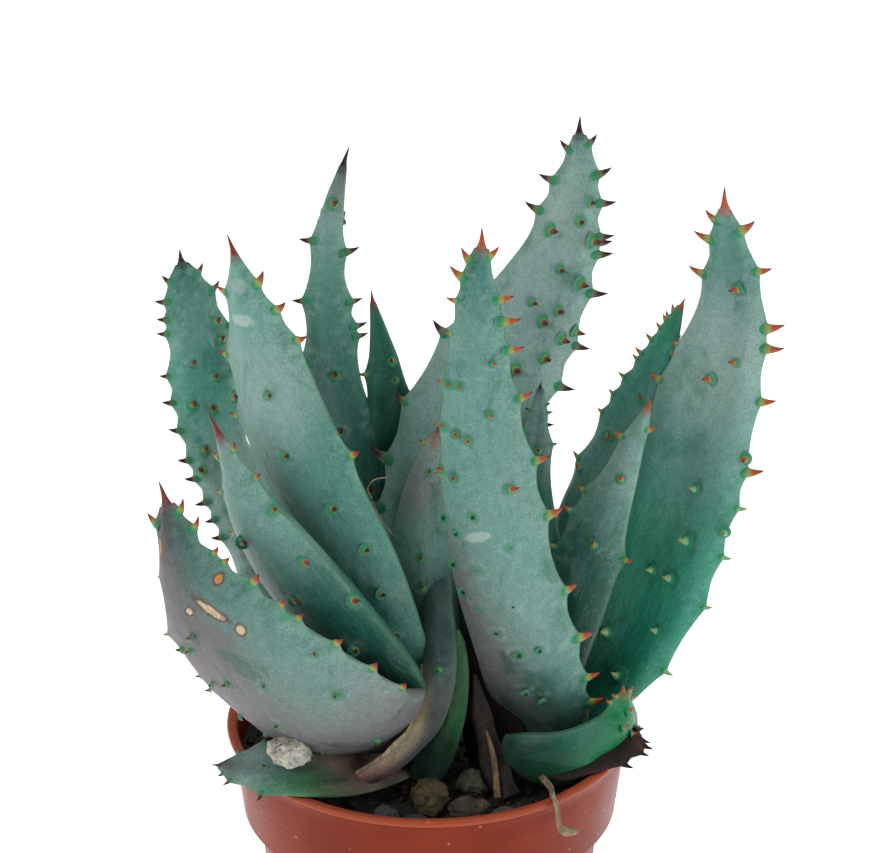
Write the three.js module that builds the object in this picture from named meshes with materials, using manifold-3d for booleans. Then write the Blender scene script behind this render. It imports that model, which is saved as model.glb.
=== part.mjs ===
// Potted aloe: a terracotta-coloured nursery pot, potting soil, and two short stems that
// carry broad toothed leaves. Millimetres, +Z up, origin at the centre of the pot's base.
import * as THREE from 'three';
import { mergeVertices } from 'three/addons/utils/BufferGeometryUtils.js';
import Module from 'manifold-3d';

const wasm = await Module();
wasm.setup();

// Pot
const potHeight = 95;
const rimRadius = 52.5; // outer edge of the rim bead
const baseRadius = 37;
const wall = 1.4;
const floorThickness = 1.6;
const collarHeight = 24.5; // the straight band below the rim
const collarStep = 4; // how far the body steps in below the collar
const collarTaper = 2.6; // how much the collar narrows from its top to its bottom
const beadHeight = 1.8;
const beadOverhang = 1.3; // how far the bead stands out from the collar
const beadRounding = 0.5;
const bodyTaper = 1.2; // how much the body narrows just under the step, before the main taper
const bodyTaperHeight = 14;
const drainHoleCount = 8;
const drainHoleRadius = 3.5;
const drainRingInset = 9; // hole centres, in from the base's edge
const turnSegments = 48;
const roundSides = 16; // sides of a drain hole or a stem

// Soil
const soilDrop = 8; // soil surface below the rim
const clearance = 0.3; // between pieces that touch

// Plant
const stemRadius = 9;
const stemDepth = 18; // length of stem in the soil
const leftStemHeight = 17; // above the soil
const rightStemHeight = 14;
const rightStemInset = 17.5; // from the soil's edge to the right stem's centre
const bellyDepth = 0.42; // how far a leaf's outer side bulges, as a share of its half width
const bellyShoulder = 0.66; // where that bulge turns in, as a share of the half width
const shoulderDepth = 0.7; // how deep it is there, as a share of the bulge
const troughRise = 0.16; // how far its inner side rises beside the middle, likewise
const troughEdge = 0.5; // where that rise is highest, as a share of the half width
const troughBottom = 0.05; // how far the inner side rises in the middle
const thinnest = 0.4; // half width at the end of a leaf
const tipRoom = 3; // room before a leaf's tip, in clearances
const firstRing = 0.15; // how far the first ring is from a leaf's foot, as a share of a ring's pitch
const toothPitch = 13; // from one tooth of a leaf's edge to the next
const toothHeight = 2.4;
const toothShare = 0.4; // a tooth on a narrow stretch is at most this share of its half width

const soilTop = potHeight - soilDrop;
const collarTopRadius = rimRadius - beadOverhang;
const collarBottomRadius = collarTopRadius - collarTaper;
const collarBottom = potHeight - collarHeight;
const soilRadius = collarTopRadius - wall - clearance;
const leftStem = new THREE.Vector3(-4, -3, soilTop);
const rightStem = new THREE.Vector3(soilRadius - rightStemInset, 0, soilTop);

// ---- solids ----

function solidFrom(geometry) {
  const bare = new THREE.BufferGeometry();
  bare.setAttribute('position', geometry.getAttribute('position'));
  bare.setIndex(geometry.getIndex());
  const merged = mergeVertices(bare, 1e-4);
  const corners = Array.from(merged.getIndex().array);
  const kept = [];
  for (let i = 0; i < corners.length; i += 3) {
    const [a, b, c] = corners.slice(i, i + 3);
    if (a !== b && b !== c && c !== a) {
      kept.push(a, b, c);
    }
  }
  return new wasm.Manifold(new wasm.Mesh({
    numProp: 3,
    vertProperties: Float32Array.from(merged.getAttribute('position').array),
    triVerts: Uint32Array.from(kept),
  }));
}

function geometryFrom(solid) {
  const mesh = solid.getMesh();
  const geometry = new THREE.BufferGeometry();
  geometry.setAttribute('position', new THREE.BufferAttribute(mesh.vertProperties, 3));
  geometry.setIndex(new THREE.BufferAttribute(mesh.triVerts, 1));
  geometry.computeVertexNormals();
  return geometry;
}

// The largest piece that a cut leaves.
function mainBody(solid) {
  const pieces = solid.decompose();
  return pieces.reduce((best, piece) => (piece.volume() > best.volume() ? piece : best));
}

function reach(solid) {
  const box = solid.boundingBox();
  return new THREE.Box3(new THREE.Vector3(...box.min), new THREE.Vector3(...box.max));
}

function cutBy(solid, cutters) {
  let cut = solid;
  for (const cutter of cutters) {
    if (reach(cut).intersectsBox(reach(cutter))) {
      cut = cut.subtract(cutter);
    }
  }
  return mainBody(cut);
}

// A profile of [radius, height] points turned about the vertical axis.
function turned(profile, segments = turnSegments) {
  const points = profile.map(([radius, height]) => new THREE.Vector2(radius, height));
  return solidFrom(new THREE.LatheGeometry(points, segments).rotateX(Math.PI / 2));
}

function cylinder(radius, bottom, top, x, y) {
  const geometry = new THREE.CylinderGeometry(radius, radius, top - bottom, roundSides);
  return solidFrom(geometry.rotateX(Math.PI / 2).translate(x, y, (bottom + top) / 2));
}

// A closed skin over rings of points that all have the same count. The first ring is
// closed flat and the last one runs to a single tip.
function lofted(rings, tip) {
  const size = rings[0].length;
  const points = rings.flat().concat([tip]);
  const faces = [];
  for (let ring = 0; ring + 1 < rings.length; ring += 1) {
    for (let i = 0; i < size; i += 1) {
      const a = ring * size + i;
      const b = ring * size + ((i + 1) % size);
      faces.push(a, a + size, b, b, a + size, b + size);
    }
  }
  for (let i = 1; i + 1 < size; i += 1) {
    faces.push(0, i, i + 1);
  }
  const last = (rings.length - 1) * size;
  for (let i = 0; i < size; i += 1) {
    faces.push(last + i, points.length - 1, last + ((i + 1) % size));
  }
  const geometry = new THREE.BufferGeometry().setFromPoints(points);
  geometry.setIndex(faces);
  return solidFrom(geometry);
}

// ---- pot and soil ----

const collarOutline = [
  [collarBottomRadius, collarBottom],
  [collarTopRadius, potHeight - beadHeight],
];

function potProfile() {
  const bodyTop = collarBottomRadius - collarStep;
  return [
    [0, 0],
    [baseRadius, 0],
    [bodyTop - bodyTaper, collarBottom - bodyTaperHeight],
    [bodyTop, collarBottom],
    ...collarOutline,
    [rimRadius, potHeight - beadHeight + beadRounding],
    [rimRadius, potHeight - beadRounding],
    [rimRadius - beadRounding, potHeight],
    [collarTopRadius - wall, potHeight],
    [collarTopRadius - wall, potHeight - beadHeight],
    [collarBottomRadius - wall, collarBottom + wall],
    [bodyTop - wall, collarBottom + wall],
    [baseRadius - wall, floorThickness],
    [0, floorThickness],
  ];
}

function makePot() {
  let pot = turned(potProfile());
  const ring = baseRadius - drainRingInset;
  for (let i = 0; i < drainHoleCount; i += 1) {
    const angle = ((i + 0.5) / drainHoleCount) * 2 * Math.PI;
    const x = ring * Math.cos(angle);
    const y = ring * Math.sin(angle);
    pot = pot.subtract(cylinder(drainHoleRadius, -1, floorThickness + 1, x, y));
  }
  return pot;
}

// The room that the collar and its rim take up.
function rimRoom() {
  const bottom = collarBottom + wall;
  return turned([
    [collarTopRadius - wall - clearance, potHeight + clearance],
    [collarBottomRadius - wall - clearance, bottom],
    [rimRadius + clearance, bottom],
    [rimRadius + clearance, potHeight + clearance],
    [collarTopRadius - wall - clearance, potHeight + clearance],
  ]);
}

// The room that the pot's wall and its step take up below the collar.
function bodyRoom() {
  const bodyTop = collarBottomRadius - collarStep;
  const ledge = collarBottom + wall + clearance;
  return turned([
    [baseRadius - wall - clearance, floorThickness + clearance],
    [rimRadius, floorThickness + clearance],
    [rimRadius, ledge],
    [bodyTop - wall - clearance, ledge],
    [baseRadius - wall - clearance, floorThickness + clearance],
  ]);
}

function makeSoil() {
  const bodyTop = collarBottomRadius - collarStep;
  const ledge = collarBottom + wall + clearance;
  const rise = (soilTop - ledge) / (potHeight - beadHeight - ledge);
  const topRadius = THREE.MathUtils.lerp(collarBottomRadius, collarTopRadius, rise);
  return turned([
    [0, floorThickness + clearance],
    [baseRadius - wall - clearance, floorThickness + clearance],
    [bodyTop - wall - clearance, ledge],
    [collarBottomRadius - wall - clearance, ledge],
    [topRadius - wall - clearance, soilTop],
    [0, soilTop],
  ]);
}

// ---- leaves ----

// A station of a leaf is [x, y, z, half width]. z counts from the soil's surface.
function fromStem(stem, [x, y, z, halfWidth]) {
  return { at: new THREE.Vector3(x, y, z).add(stem), halfWidth };
}

// A station near the rim is [degrees round the pot, distance inside the rim, height above
// the rim, half width].
function fromRim([degrees, inset, lift, halfWidth]) {
  const angle = THREE.MathUtils.degToRad(degrees);
  const radius = rimRadius - inset;
  const at = new THREE.Vector3(radius * Math.cos(angle), radius * Math.sin(angle), potHeight + lift);
  return { at, halfWidth };
}

function smoothCurve(points) {
  return new THREE.CatmullRomCurve3(points, false, 'catmullrom', 0.5);
}

// The two edges, the raised flanks of the inner side and the belly of the outer side.
function crossSection(centre, across, inward, half, edge, depth, grow) {
  const corners = [
    [edge, 0],
    [troughEdge * half, troughRise * depth + grow],
    [0, troughBottom * depth + grow],
    [-troughEdge * half, troughRise * depth + grow],
    [-edge, 0],
    [-bellyShoulder * half, -shoulderDepth * bellyDepth * depth - grow],
    [0, -bellyDepth * depth - grow],
    [bellyShoulder * half, -shoulderDepth * bellyDepth * depth - grow],
  ];
  return corners.map(([sideways, up]) => centre.clone()
    .addScaledVector(across, sideways)
    .addScaledVector(inward, up));
}

// A leaf with its toothed edges and its tip, or the room around it if grow is not 0.
function leafSolid(leaf, grow = 0) {
  const path = smoothCurve(leaf.stations.map(({ at }) => at));
  const widths = smoothCurve(leaf.stations.map(({ halfWidth }) => new THREE.Vector3(halfWidth, 0, 0)));
  const teeth = Math.max(3, Math.round(path.getLength() / toothPitch));
  const ringCount = 2 * teeth;
  const rings = [];
  for (let ring = 0; ring < ringCount; ring += 1) {
    const t = (ring + firstRing) / ringCount;
    const along = path.getTangent(t);
    const facing = new THREE.Vector3(...leaf.facing).lerp(new THREE.Vector3(...leaf.tipFacing), t);
    const inward = facing.addScaledVector(along, -facing.dot(along)).normalize();
    const across = along.clone().cross(inward);
    const half = Math.max(widths.getPoint(t).x, thinnest);
    const tooth = ring % 2 === 1 ? Math.min(leaf.tooth, toothShare * half) : 0;
    const depth = half * leaf.fatness;
    rings.push(crossSection(path.getPoint(t), across, inward, half, half + tooth + grow, depth, grow));
  }
  const end = path.getTangent(1).multiplyScalar(grow * tipRoom);
  return lofted(rings, path.getPoint(1).add(end));
}

// Leaves of the left stem, the foremost first. facing is the way the inner side looks.
const leftLeaves = {
  left_leaf_front: {
    facing: [0.3, 0.75, 0.55],
    tipFacing: [0.3, 0.9, 0.2],
    stations: [
      [-3, -9, 11, 11],
      [-9, -16, 17, 19.5],
      [-21.5, -23, 26, 25],
      [-36.5, -27, 40, 23],
      [-50, -28, 56, 16.5],
      [-58, -24, 70, 7.5],
      [-61, -17, 84, 0.6],
    ],
  },
  left_leaf_slanting: {
    facing: [0.6, 0.7, 0.3],
    stations: [
      [-1, -6, 12, 9],
      [-8, -12, 31, 14],
      [-19, -16, 47, 16.5],
      [-30, -17, 63, 15.5],
      [-39, -17, 78, 12],
      [-45, -15, 91, 5.5],
      [-49, -13, 101, 0.5],
    ],
  },
  left_leaf_tall: {
    facing: [0.5, 0.8, 0.2],
    stations: [
      [-1, -2, 11, 11],
      [-7, -4, 34, 13],
      [-15.5, -6, 58, 15.5],
      [-24, -7, 78, 15.6],
      [-31, -7, 97.5, 14.3],
      [-36, -6, 116.5, 11.5],
      [-40, -5, 131.5, 6.5],
      [-43.5, -4, 144.5, 0.6],
    ],
  },
  left_leaf_centre: {
    facing: [0, 0.95, 0.1],
    stations: [
      [3, -2, 5, 7],
      [3, -1, 31, 8],
      [2, 1, 54, 8.5],
      [3, 2, 70, 6.5],
      [4, 4, 81, 3.3],
      [6, 5, 88.5, 0.5],
    ],
  },
  left_leaf_arching: {
    facing: [-0.1, -0.95, 0.2],
    stations: [
      [-1, 1, 20, 9],
      [3, 5, 40.5, 12],
      [7, 9, 62, 15],
      [12.5, 13, 80.5, 16.6],
      [19, 17, 94, 17],
      [25.5, 20, 107.5, 15.6],
      [32, 23, 120, 12.6],
      [37, 25, 131.5, 9.3],
      [40.5, 27, 144, 6.4],
      [41.5, 28, 156, 3],
      [41.3, 28, 165, 0.5],
    ],
  },
  left_leaf_upright: {
    facing: [0.2, -0.95, 0.2],
    stations: [
      [-3, 4, 11, 9],
      [-8, 11, 36, 9.5],
      [-14, 16, 65.5, 9],
      [-18.5, 19, 91.5, 7.8],
      [-21, 20, 113, 6.4],
      [-21, 21, 131, 4.6],
      [-19, 21, 145, 2.8],
      [-16, 21, 158, 0.5],
    ],
  },
  left_leaf_young: {
    facing: [0.2, -0.95, 0.1],
    stations: [
      [0, 8, 20, 6],
      [-4, 17, 58, 7],
      [-6, 20, 79.5, 6],
      [-7, 22, 97.5, 4],
      [-8.3, 23, 107, 2.6],
      [-10.4, 23, 118, 0.5],
    ],
  },
  left_leaf_back: {
    facing: [0.4, -0.9, 0.2],
    stations: [
      [-4, 2, 10, 6],
      [-20, 8, 20, 8],
      [-34, 12, 38, 9],
      [-44, 14, 58, 9],
      [-50, 15, 78, 8.5],
      [-53.5, 17, 96, 8.3],
      [-54.5, 18, 111, 7.6],
      [-56.5, 19, 124, 4.2],
      [-58, 20, 132, 0.6],
    ],
  },
  left_leaf_old: {
    facing: [0.3, 0.9, 0.1],
    fatness: 1.3,
    stations: [
      [4.5, -10, 2, 5.5],
      [8, -10, 11, 5.8],
      [11.5, -9, 23, 4.8],
      [12, -8, 32, 3.6],
      [10.5, -6, 39, 1.2],
    ],
  },
  left_leaf_low: {
    facing: [0.1, -0.4, 0.9],
    stations: [[1, -6, 7, 8]],
    rimStations: [
      [239, 27, 1, 9],
      [232, 13, 3, 9],
      [224, 4, 4.5, 8],
      [215, -3, 4, 5.5],
      [208, -7.5, 2, 0.6],
    ],
  },
};

// Leaves of the right stem.
const rightLeaves = {
  right_leaf_front: {
    facing: [0.1, 0.95, 0.1],
    stations: [
      [-3, -6, 9, 12],
      [-7.5, -15, 35, 12.8],
      [-13.5, -20, 61, 13],
      [-17.2, -20, 85, 12.1],
      [-19.5, -18, 107, 9.8],
      [-20.2, -16, 127, 6.6],
      [-20, -14, 141, 3.6],
      [-19, -13, 151, 0.6],
    ],
  },
  right_leaf_big: {
    facing: [-0.35, -0.9, 0.25],
    stations: [
      [1, 3, 10, 11],
      [13.5, 5, 21.5, 12.5],
      [24, 8, 39.5, 14],
      [30, 12, 58, 14.6],
      [35, 16, 75, 14.2],
      [40, 19, 93, 12.6],
      [44, 20, 111, 9.8],
      [44, 20, 126, 7],
      [42, 18, 139, 3.4],
      [41, 16, 150, 0.6],
    ],
  },
  right_leaf_slanting: {
    facing: [0.4, 0.85, 0.1],
    stations: [
      [-4, -1, 11, 7.5],
      [1, 0, 28, 8.3],
      [6, 0, 45, 8.5],
      [11, 1, 62, 7],
      [16, 1, 76, 4.8],
      [20.5, 2, 89, 2.2],
      [23.5, 2, 99, 0.5],
    ],
  },
  right_leaf_back: {
    facing: [-0.5, -0.8, 0.2],
    stations: [
      [1, 6, 12, 7],
      [5, 15, 32, 7.5],
      [8, 21, 51, 7.5],
      [12, 25, 64, 7],
      [18, 28, 78, 6.6],
      [24, 29, 92, 5],
      [29, 29, 104, 2.8],
      [32.5, 29, 112, 0.5],
    ],
  },
  right_leaf_young: {
    facing: [0.1, -0.9, 0.2],
    stations: [
      [-1, 3, 20, 6],
      [-3, 5, 44, 6.5],
      [-5, 6, 68, 5.4],
      [-4.5, 6, 82, 3.4],
      [-4, 6, 92, 1.8],
      [-3.7, 6, 100, 0.5],
    ],
  },
  right_leaf_low: {
    facing: [-0.1, 0.95, 0.15],
    tipFacing: [-0.6, 0.75, 0.2],
    fatness: 1.15,
    stations: [
      [-7, -9, 9, 7],
      [-4, -16, 9, 9.5],
    ],
    rimStations: [
      [-27, 11.5, 2, 10.5],
      [-16.5, 6, 3, 9.5],
      [-7, 2, 7, 6],
      [-1, 1.5, 14, 0.6],
    ],
  },
  right_leaf_dried: {
    facing: [-0.2, 0.1, 0.95],
    fatness: 0.45,
    stations: [[2, -17, 6, 3]],
    rimStations: [
      [-41, 5, 1.6, 4],
      [-31, 1.5, 2.4, 6],
      [-21, -1.5, 2.2, 6.5],
      [-13, -3.5, 1, 4.5],
      [-7, -4, -1, 0.5],
    ],
  },
};

// A leaf with the values that most leaves share, and with its stations in the pot's frame.
function completed(leaf, stem) {
  const growing = leaf.stations.map((station) => fromStem(stem, station));
  const resting = (leaf.rimStations ?? []).map(fromRim);
  return {
    facing: leaf.facing,
    tipFacing: leaf.tipFacing ?? leaf.facing,
    fatness: leaf.fatness ?? 1,
    tooth: toothHeight,
    stations: [...growing, ...resting],
  };
}

// ---- dry leaf remains and stones ----

const driedTooth = 0.1;

function makeDriedRemains() {
  return {
    dried_sheath: {
      facing: [0, 0.9, 0.4],
      tipFacing: [0, 0.9, 0.4],
      fatness: 0.4,
      tooth: driedTooth,
      stations: [
        [-18, -26, 1.5, 3],
        [-19.5, -22, 8, 4],
        [-20, -16, 18, 3],
        [-19.5, -12, 26, 0.5],
      ].map((station) => fromStem(rightStem, station)),
    },
    dried_strip: {
      facing: [-0.6, 0.8, 0.3],
      tipFacing: [-0.6, 0.8, 0],
      fatness: 0.8,
      tooth: driedTooth,
      stations: [
        [-45, 13, -1, 1],
        [-51, 4, 1, 1.2],
        [-54, -0.2, 1.7, 1.2],
        [-54.5, -2.4, -1, 1.2],
        [-54.5, -2.8, -5, 1.2],
        [-53.5, -3.2, -9, 1.8],
        [-52.5, -3.4, -11.5, 0.5],
      ].map(fromRim),
    },
  };
}

// Each stone is [x, y, height of its centre above the soil, half length, half height].
const stones = [
  [0, -32, 3, 6.5, 5],
  [11, -25, 2.2, 5, 4],
  [10, -36, 1.6, 6, 3.4],
  [-11, -38, 1.2, 4.2, 2.8],
  [19, -38, 1, 4, 2.6],
  [-3, -41, 1, 3.6, 2.4],
];

const paleStoneHalf = { length: 6.2, height: 4.4 };
const paleStoneTurn = 1.7;
const paleStonePlace = [221, 6.5, 10.5, 0]; // a station near the rim
const stoneBreadth = 0.82; // of its length
const lumpSize = 0.07; // of its half length

// A rough pebble: a ball of flat faces with its corners pushed in and out by turns.
function pebble(halfLength, halfHeight, seed) {
  const ball = new THREE.IcosahedronGeometry(1, 1);
  const corner = new THREE.Vector3();
  const place = ball.getAttribute('position');
  for (let i = 0; i < place.count; i += 1) {
    corner.fromBufferAttribute(place, i);
    const hollows = Math.sin(4 * corner.y + 2 * seed) * Math.cos(3 * corner.z);
    const lumps = Math.sin(5 * corner.x + seed) + hollows;
    corner.multiplyScalar(1 + lumpSize * lumps);
    place.setXYZ(i, corner.x * halfLength, corner.y * halfLength * stoneBreadth, corner.z * halfHeight);
  }
  return ball.rotateZ(seed);
}

function stoneSolid([x, y, lift, halfLength, halfHeight], seed, grow = 0) {
  const geometry = pebble(halfLength + grow, halfHeight + grow, seed);
  return solidFrom(geometry.translate(x, y, soilTop + lift));
}

// The pale stone that lies on the low left leaf, against the front leaf.
function paleStoneSolid() {
  const perch = fromRim(paleStonePlace).at;
  const ball = pebble(paleStoneHalf.length, paleStoneHalf.height, paleStoneTurn);
  return solidFrom(ball.translate(perch.x, perch.y, perch.z));
}

// ---- assembly ----

function stemSolid(stem, height, grow = 0) {
  return cylinder(stemRadius + grow, soilTop - stemDepth - grow, soilTop + height + grow, stem.x, stem.y);
}

const palette = {
  pot: [0xb35a3c, 0.45],
  soil: [0x24221f, 0.95],
  stem: [0x6b6a4e, 0.8],
  leaf: [0x5f9186, 0.55],
  low_leaf: [0x3e6a58, 0.55],
  dried: [0x5a4632, 0.9],
  stone: [0x565244, 0.9],
  pale_stone: [0xacaa9c, 0.9],
};

function part(name, solid, look) {
  const [color, roughness] = palette[look];
  const material = new THREE.MeshStandardMaterial({ color, roughness, metalness: 0 });
  const mesh = new THREE.Mesh(geometryFrom(solid), material);
  mesh.name = name;
  return mesh;
}

function placed(leaves, stem) {
  return Object.fromEntries(Object.entries(leaves).map(([name, leaf]) => [name, completed(leaf, stem)]));
}

function leafLook(name) {
  if (name.includes('dried')) {
    return 'dried';
  }
  return name.endsWith('low') || name.endsWith('old') ? 'low_leaf' : 'leaf';
}

function buildPlant() {
  const plant = new THREE.Group();
  plant.add(part('pot', makePot(), 'pot'));
  const wallRoom = [bodyRoom()];
  plant.add(part('left_stem', cutBy(stemSolid(leftStem, leftStemHeight), wallRoom), 'stem'));
  plant.add(part('right_stem', cutBy(stemSolid(rightStem, rightStemHeight), wallRoom), 'stem'));
  const stemRoom = [
    stemSolid(leftStem, leftStemHeight, clearance),
    stemSolid(rightStem, rightStemHeight, clearance),
  ];
  const fixedRoom = [rimRoom(), ...stemRoom];

  // Each leaf gives way to the stems and to the leaves that are placed before it.
  const growing = { ...placed(rightLeaves, rightStem), ...placed(leftLeaves, leftStem) };
  const leafRoom = [];
  for (const [name, leaf] of Object.entries({ ...growing, ...makeDriedRemains() })) {
    const solid = cutBy(leafSolid(leaf), [...fixedRoom, ...leafRoom]);
    plant.add(part(name, solid, leafLook(name)));
    leafRoom.push(leafSolid(leaf, clearance));
  }

  const paleStone = cutBy(paleStoneSolid(), leafRoom);
  plant.add(part('pale_stone', paleStone, 'pale_stone'));
  const stoneRoom = [];
  stones.forEach((stone, i) => {
    const solid = cutBy(stoneSolid(stone, i + 1), [...fixedRoom, ...leafRoom]);
    plant.add(part(`stone_${i + 1}`, solid, 'stone'));
    stoneRoom.push(stoneSolid(stone, i + 1, clearance));
  });

  plant.add(part('soil', cutBy(makeSoil(), [...stemRoom, ...leafRoom, ...stoneRoom]), 'soil'));
  return plant;
}

export default buildPlant();
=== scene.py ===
import math
import random

import bmesh
import bpy
import numpy as np
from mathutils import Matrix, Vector, noise


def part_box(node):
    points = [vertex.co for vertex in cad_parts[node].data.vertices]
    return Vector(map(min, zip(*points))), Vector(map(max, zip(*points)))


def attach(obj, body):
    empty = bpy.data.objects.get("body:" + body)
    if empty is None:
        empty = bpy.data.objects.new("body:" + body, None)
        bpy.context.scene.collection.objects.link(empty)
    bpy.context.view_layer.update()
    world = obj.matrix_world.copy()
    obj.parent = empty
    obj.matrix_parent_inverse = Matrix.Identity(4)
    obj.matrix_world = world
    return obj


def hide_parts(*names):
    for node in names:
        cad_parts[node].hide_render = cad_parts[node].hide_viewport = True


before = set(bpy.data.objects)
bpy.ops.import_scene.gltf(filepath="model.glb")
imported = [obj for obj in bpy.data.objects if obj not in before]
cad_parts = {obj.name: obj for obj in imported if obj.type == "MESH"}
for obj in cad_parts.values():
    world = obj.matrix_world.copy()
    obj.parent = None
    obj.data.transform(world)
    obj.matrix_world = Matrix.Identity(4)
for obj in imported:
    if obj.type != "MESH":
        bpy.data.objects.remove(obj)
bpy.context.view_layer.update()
mm = 0.001  # leaves, pot and soil are worked out in millimetres and made in metres

potLow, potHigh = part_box("pot")
rimRadius = (potHigh.x - potLow.x) / 2 / mm
rimHeight = potHigh.z / mm
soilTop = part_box("soil")[1].z / mm


def footOf(node):
    low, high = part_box(node)
    return np.array([(low.x + high.x) / 2 / mm, (low.y + high.y) / 2 / mm, soilTop])


leftFoot = footOf("left_stem")
rightFoot = footOf("right_stem")

# ---- colours, as 0-255 sRGB ----

tones = {
    "sea": (104, 148, 138),
    "seaDeep": (62, 124, 112),
    "seaBright": (62, 148, 130),
    "bottle": (22, 94, 80),
    "bottleDark": (6, 68, 56),
    "jade": (20, 138, 98),
    "emerald": (0, 132, 102),
    "leafEmerald": (0, 122, 68),
    "moss": (36, 100, 52),
    "mossDark": (28, 66, 34),
    "fresh": (104, 152, 142),
    "powder": (130, 160, 154),
    "mist": (142, 170, 163),
    "mistPale": (172, 200, 194),
    "slate": (78, 110, 106),
    "slateDark": (46, 78, 74),
    "plum": (106, 102, 104),
    "plumPale": (126, 128, 130),
    "plumDark": (76, 76, 78),
    "mauveDark": (106, 100, 102),
    "rose": (150, 104, 96),
    "maroon": (108, 86, 78),
    "olive": (92, 110, 74),
    "umber": (70, 62, 52),
    "umberDark": (26, 19, 16),
    "straw": (176, 160, 128),
    "thornFoot": (140, 150, 82),
    "thornBud": (104, 88, 48),
    "halo": (34, 132, 88),
    "thornOrange": (168, 76, 40),
    "thornRed": (120, 48, 38),
    "thornPlum": (78, 34, 40),
    "thornDark": (44, 24, 34),
    "paleGreen": (122, 172, 132),
    "cork": (206, 146, 84),
    "cream": (226, 204, 168),
    "bark": (92, 62, 50),
    "white": (214, 224, 216),
    "potDeep": (116, 34, 8),
    "potBright": (134, 44, 14),
    "potFaded": (162, 66, 30),
    "potGrime": (70, 34, 24),
    "potDust": (196, 150, 120),
    # painted highlight: the paler colour of the thin band round the top of the rim
    "potRimHighlight": (190, 98, 70),
}


def linear(channel):
    share = channel / 255
    return share / 12.92 if share <= 0.04045 else ((share + 0.055) / 1.055) ** 2.4


def tone(name):
    return np.array([linear(channel) for channel in tones[name]])


def rgba(name, gain=1.0):
    return (*(tone(name) * gain), 1.0)


# ---- node helpers ----


def newMaterial(name):
    material = bpy.data.materials.new(name)
    material.use_nodes = True
    tree = material.node_tree
    return material, tree, tree.nodes["Principled BSDF"]


def addNode(tree, kind, inputs=None, **settings):
    node = tree.nodes.new(kind)
    for key, value in settings.items():
        setattr(node, key, value)
    for key, value in (inputs or {}).items():
        socket = node.inputs[key]
        if isinstance(value, bpy.types.NodeSocket):
            tree.links.new(value, socket)
        else:
            socket.default_value = value
    return node


def attribute(tree, name, output="Fac"):
    return addNode(tree, "ShaderNodeAttribute", attribute_name=name).outputs[output]


def noiseAt(tree, place, scale, detail=3.0, rough=0.55, bend=0.0):
    inputs = {"Vector": place, "Scale": scale, "Detail": detail, "Roughness": rough, "Distortion": bend}
    return addNode(tree, "ShaderNodeTexNoise", inputs).outputs["Fac"]


def ramp(tree, value, low, high, bottom=0.0, top=1.0):
    inputs = {"Value": value, "From Min": low, "From Max": high, "To Min": bottom, "To Max": top}
    return addNode(tree, "ShaderNodeMapRange", inputs, interpolation_type="SMOOTHSTEP").outputs["Result"]


def maths(tree, operation, first, second=0.0):
    node = addNode(tree, "ShaderNodeMath", {0: first, 1: second}, operation=operation)
    return node.outputs["Value"]


def blendColour(tree, share, first, second, mode="MIX"):
    node = addNode(tree, "ShaderNodeMix", data_type="RGBA", blend_type=mode)
    for socket, value in ((node.inputs[0], share), (node.inputs[6], first), (node.inputs[7], second)):
        if isinstance(value, bpy.types.NodeSocket):
            tree.links.new(value, socket)
        else:
            socket.default_value = value
    return node.outputs[2]


def bump(tree, height, distance, strength=1.0, under=None):
    inputs = {"Height": height, "Distance": distance, "Strength": strength}
    if under:
        inputs["Normal"] = under
    return addNode(tree, "ShaderNodeBump", inputs).outputs["Normal"]


def scaled(tree, place, factors):
    return addNode(tree, "ShaderNodeMapping", {"Vector": place, "Scale": factors}).outputs["Vector"]


# ---- mesh helpers ----


class Shell:
    # Points, faces and per-point values of one mesh while it is being made

    def __init__(self, *values):
        self.points = []
        self.faces = []
        self.values = {name: [] for name in values}
        self.count = 0

    def add(self, points, faces, **values):
        points = np.asarray(points, float).reshape(-1, 3)
        self.points.append(points)
        self.faces += [tuple(int(i) + self.count for i in face) for face in faces]
        for name, store in self.values.items():
            given = np.asarray(values.get(name, 0.0), float)
            width = given.shape[-1] if given.ndim and given.shape[-1:] == (3,) else 1
            store.append(np.broadcast_to(given.reshape(-1, width), (len(points), width)))
        self.count += len(points)

    def piece(self, name, material):
        mesh = bpy.data.meshes.new(name)
        mesh.from_pydata((np.vstack(self.points) * mm).tolist(), [], self.faces)
        for key, store in self.values.items():
            values = np.vstack(store)
            if values.shape[1] == 1:
                layer = mesh.attributes.new(key, "FLOAT", "POINT")
                layer.data.foreach_set("value", values.ravel())
            elif key == "hue":
                layer = mesh.attributes.new(key, "FLOAT_COLOR", "POINT")
                layer.data.foreach_set("color", np.hstack([values, np.ones((len(values), 1))]).ravel())
            else:
                layer = mesh.attributes.new(key, "FLOAT_VECTOR", "POINT")
                layer.data.foreach_set("vector", values.ravel())
        mesh.polygons.foreach_set("use_smooth", [True] * len(mesh.polygons))
        mesh.materials.append(material)
        mesh.update()
        made = bpy.data.objects.new(name, mesh)
        bpy.context.scene.collection.objects.link(made)
        return made


def gridFaces(rows, columns):
    faces = []
    for row in range(rows - 1):
        for column in range(columns):
            a = row * columns + column
            b = row * columns + (column + 1) % columns
            faces.append((a, b, b + columns, a + columns))
    return faces


def closedGrid(rows, columns):
    # a grid with a face over each end
    last = (rows - 1) * columns
    return gridFaces(rows, columns) + [tuple(range(columns))[::-1], tuple(range(last, last + columns))]


def circle(sides):
    return np.arange(sides) / sides * 2 * math.pi


def ring(turn, reach, height, centre=(0, 0)):
    x, y = reach * np.cos(turn), reach * np.sin(turn)
    return np.stack([centre[0] + x, centre[1] + y, np.broadcast_to(height, turn.shape)], -1)


def pieceName(node):
    first, *rest = node.split("_")
    return first + "".join(word.title() for word in rest)


def keep(piece, node):
    # the piece stands for a CAD node
    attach(piece, "root")
    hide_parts(node)
    return piece


def loose(piece):
    # the piece is small detail of its own
    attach(piece, "root")
    return piece


# ---- camera ----

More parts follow.
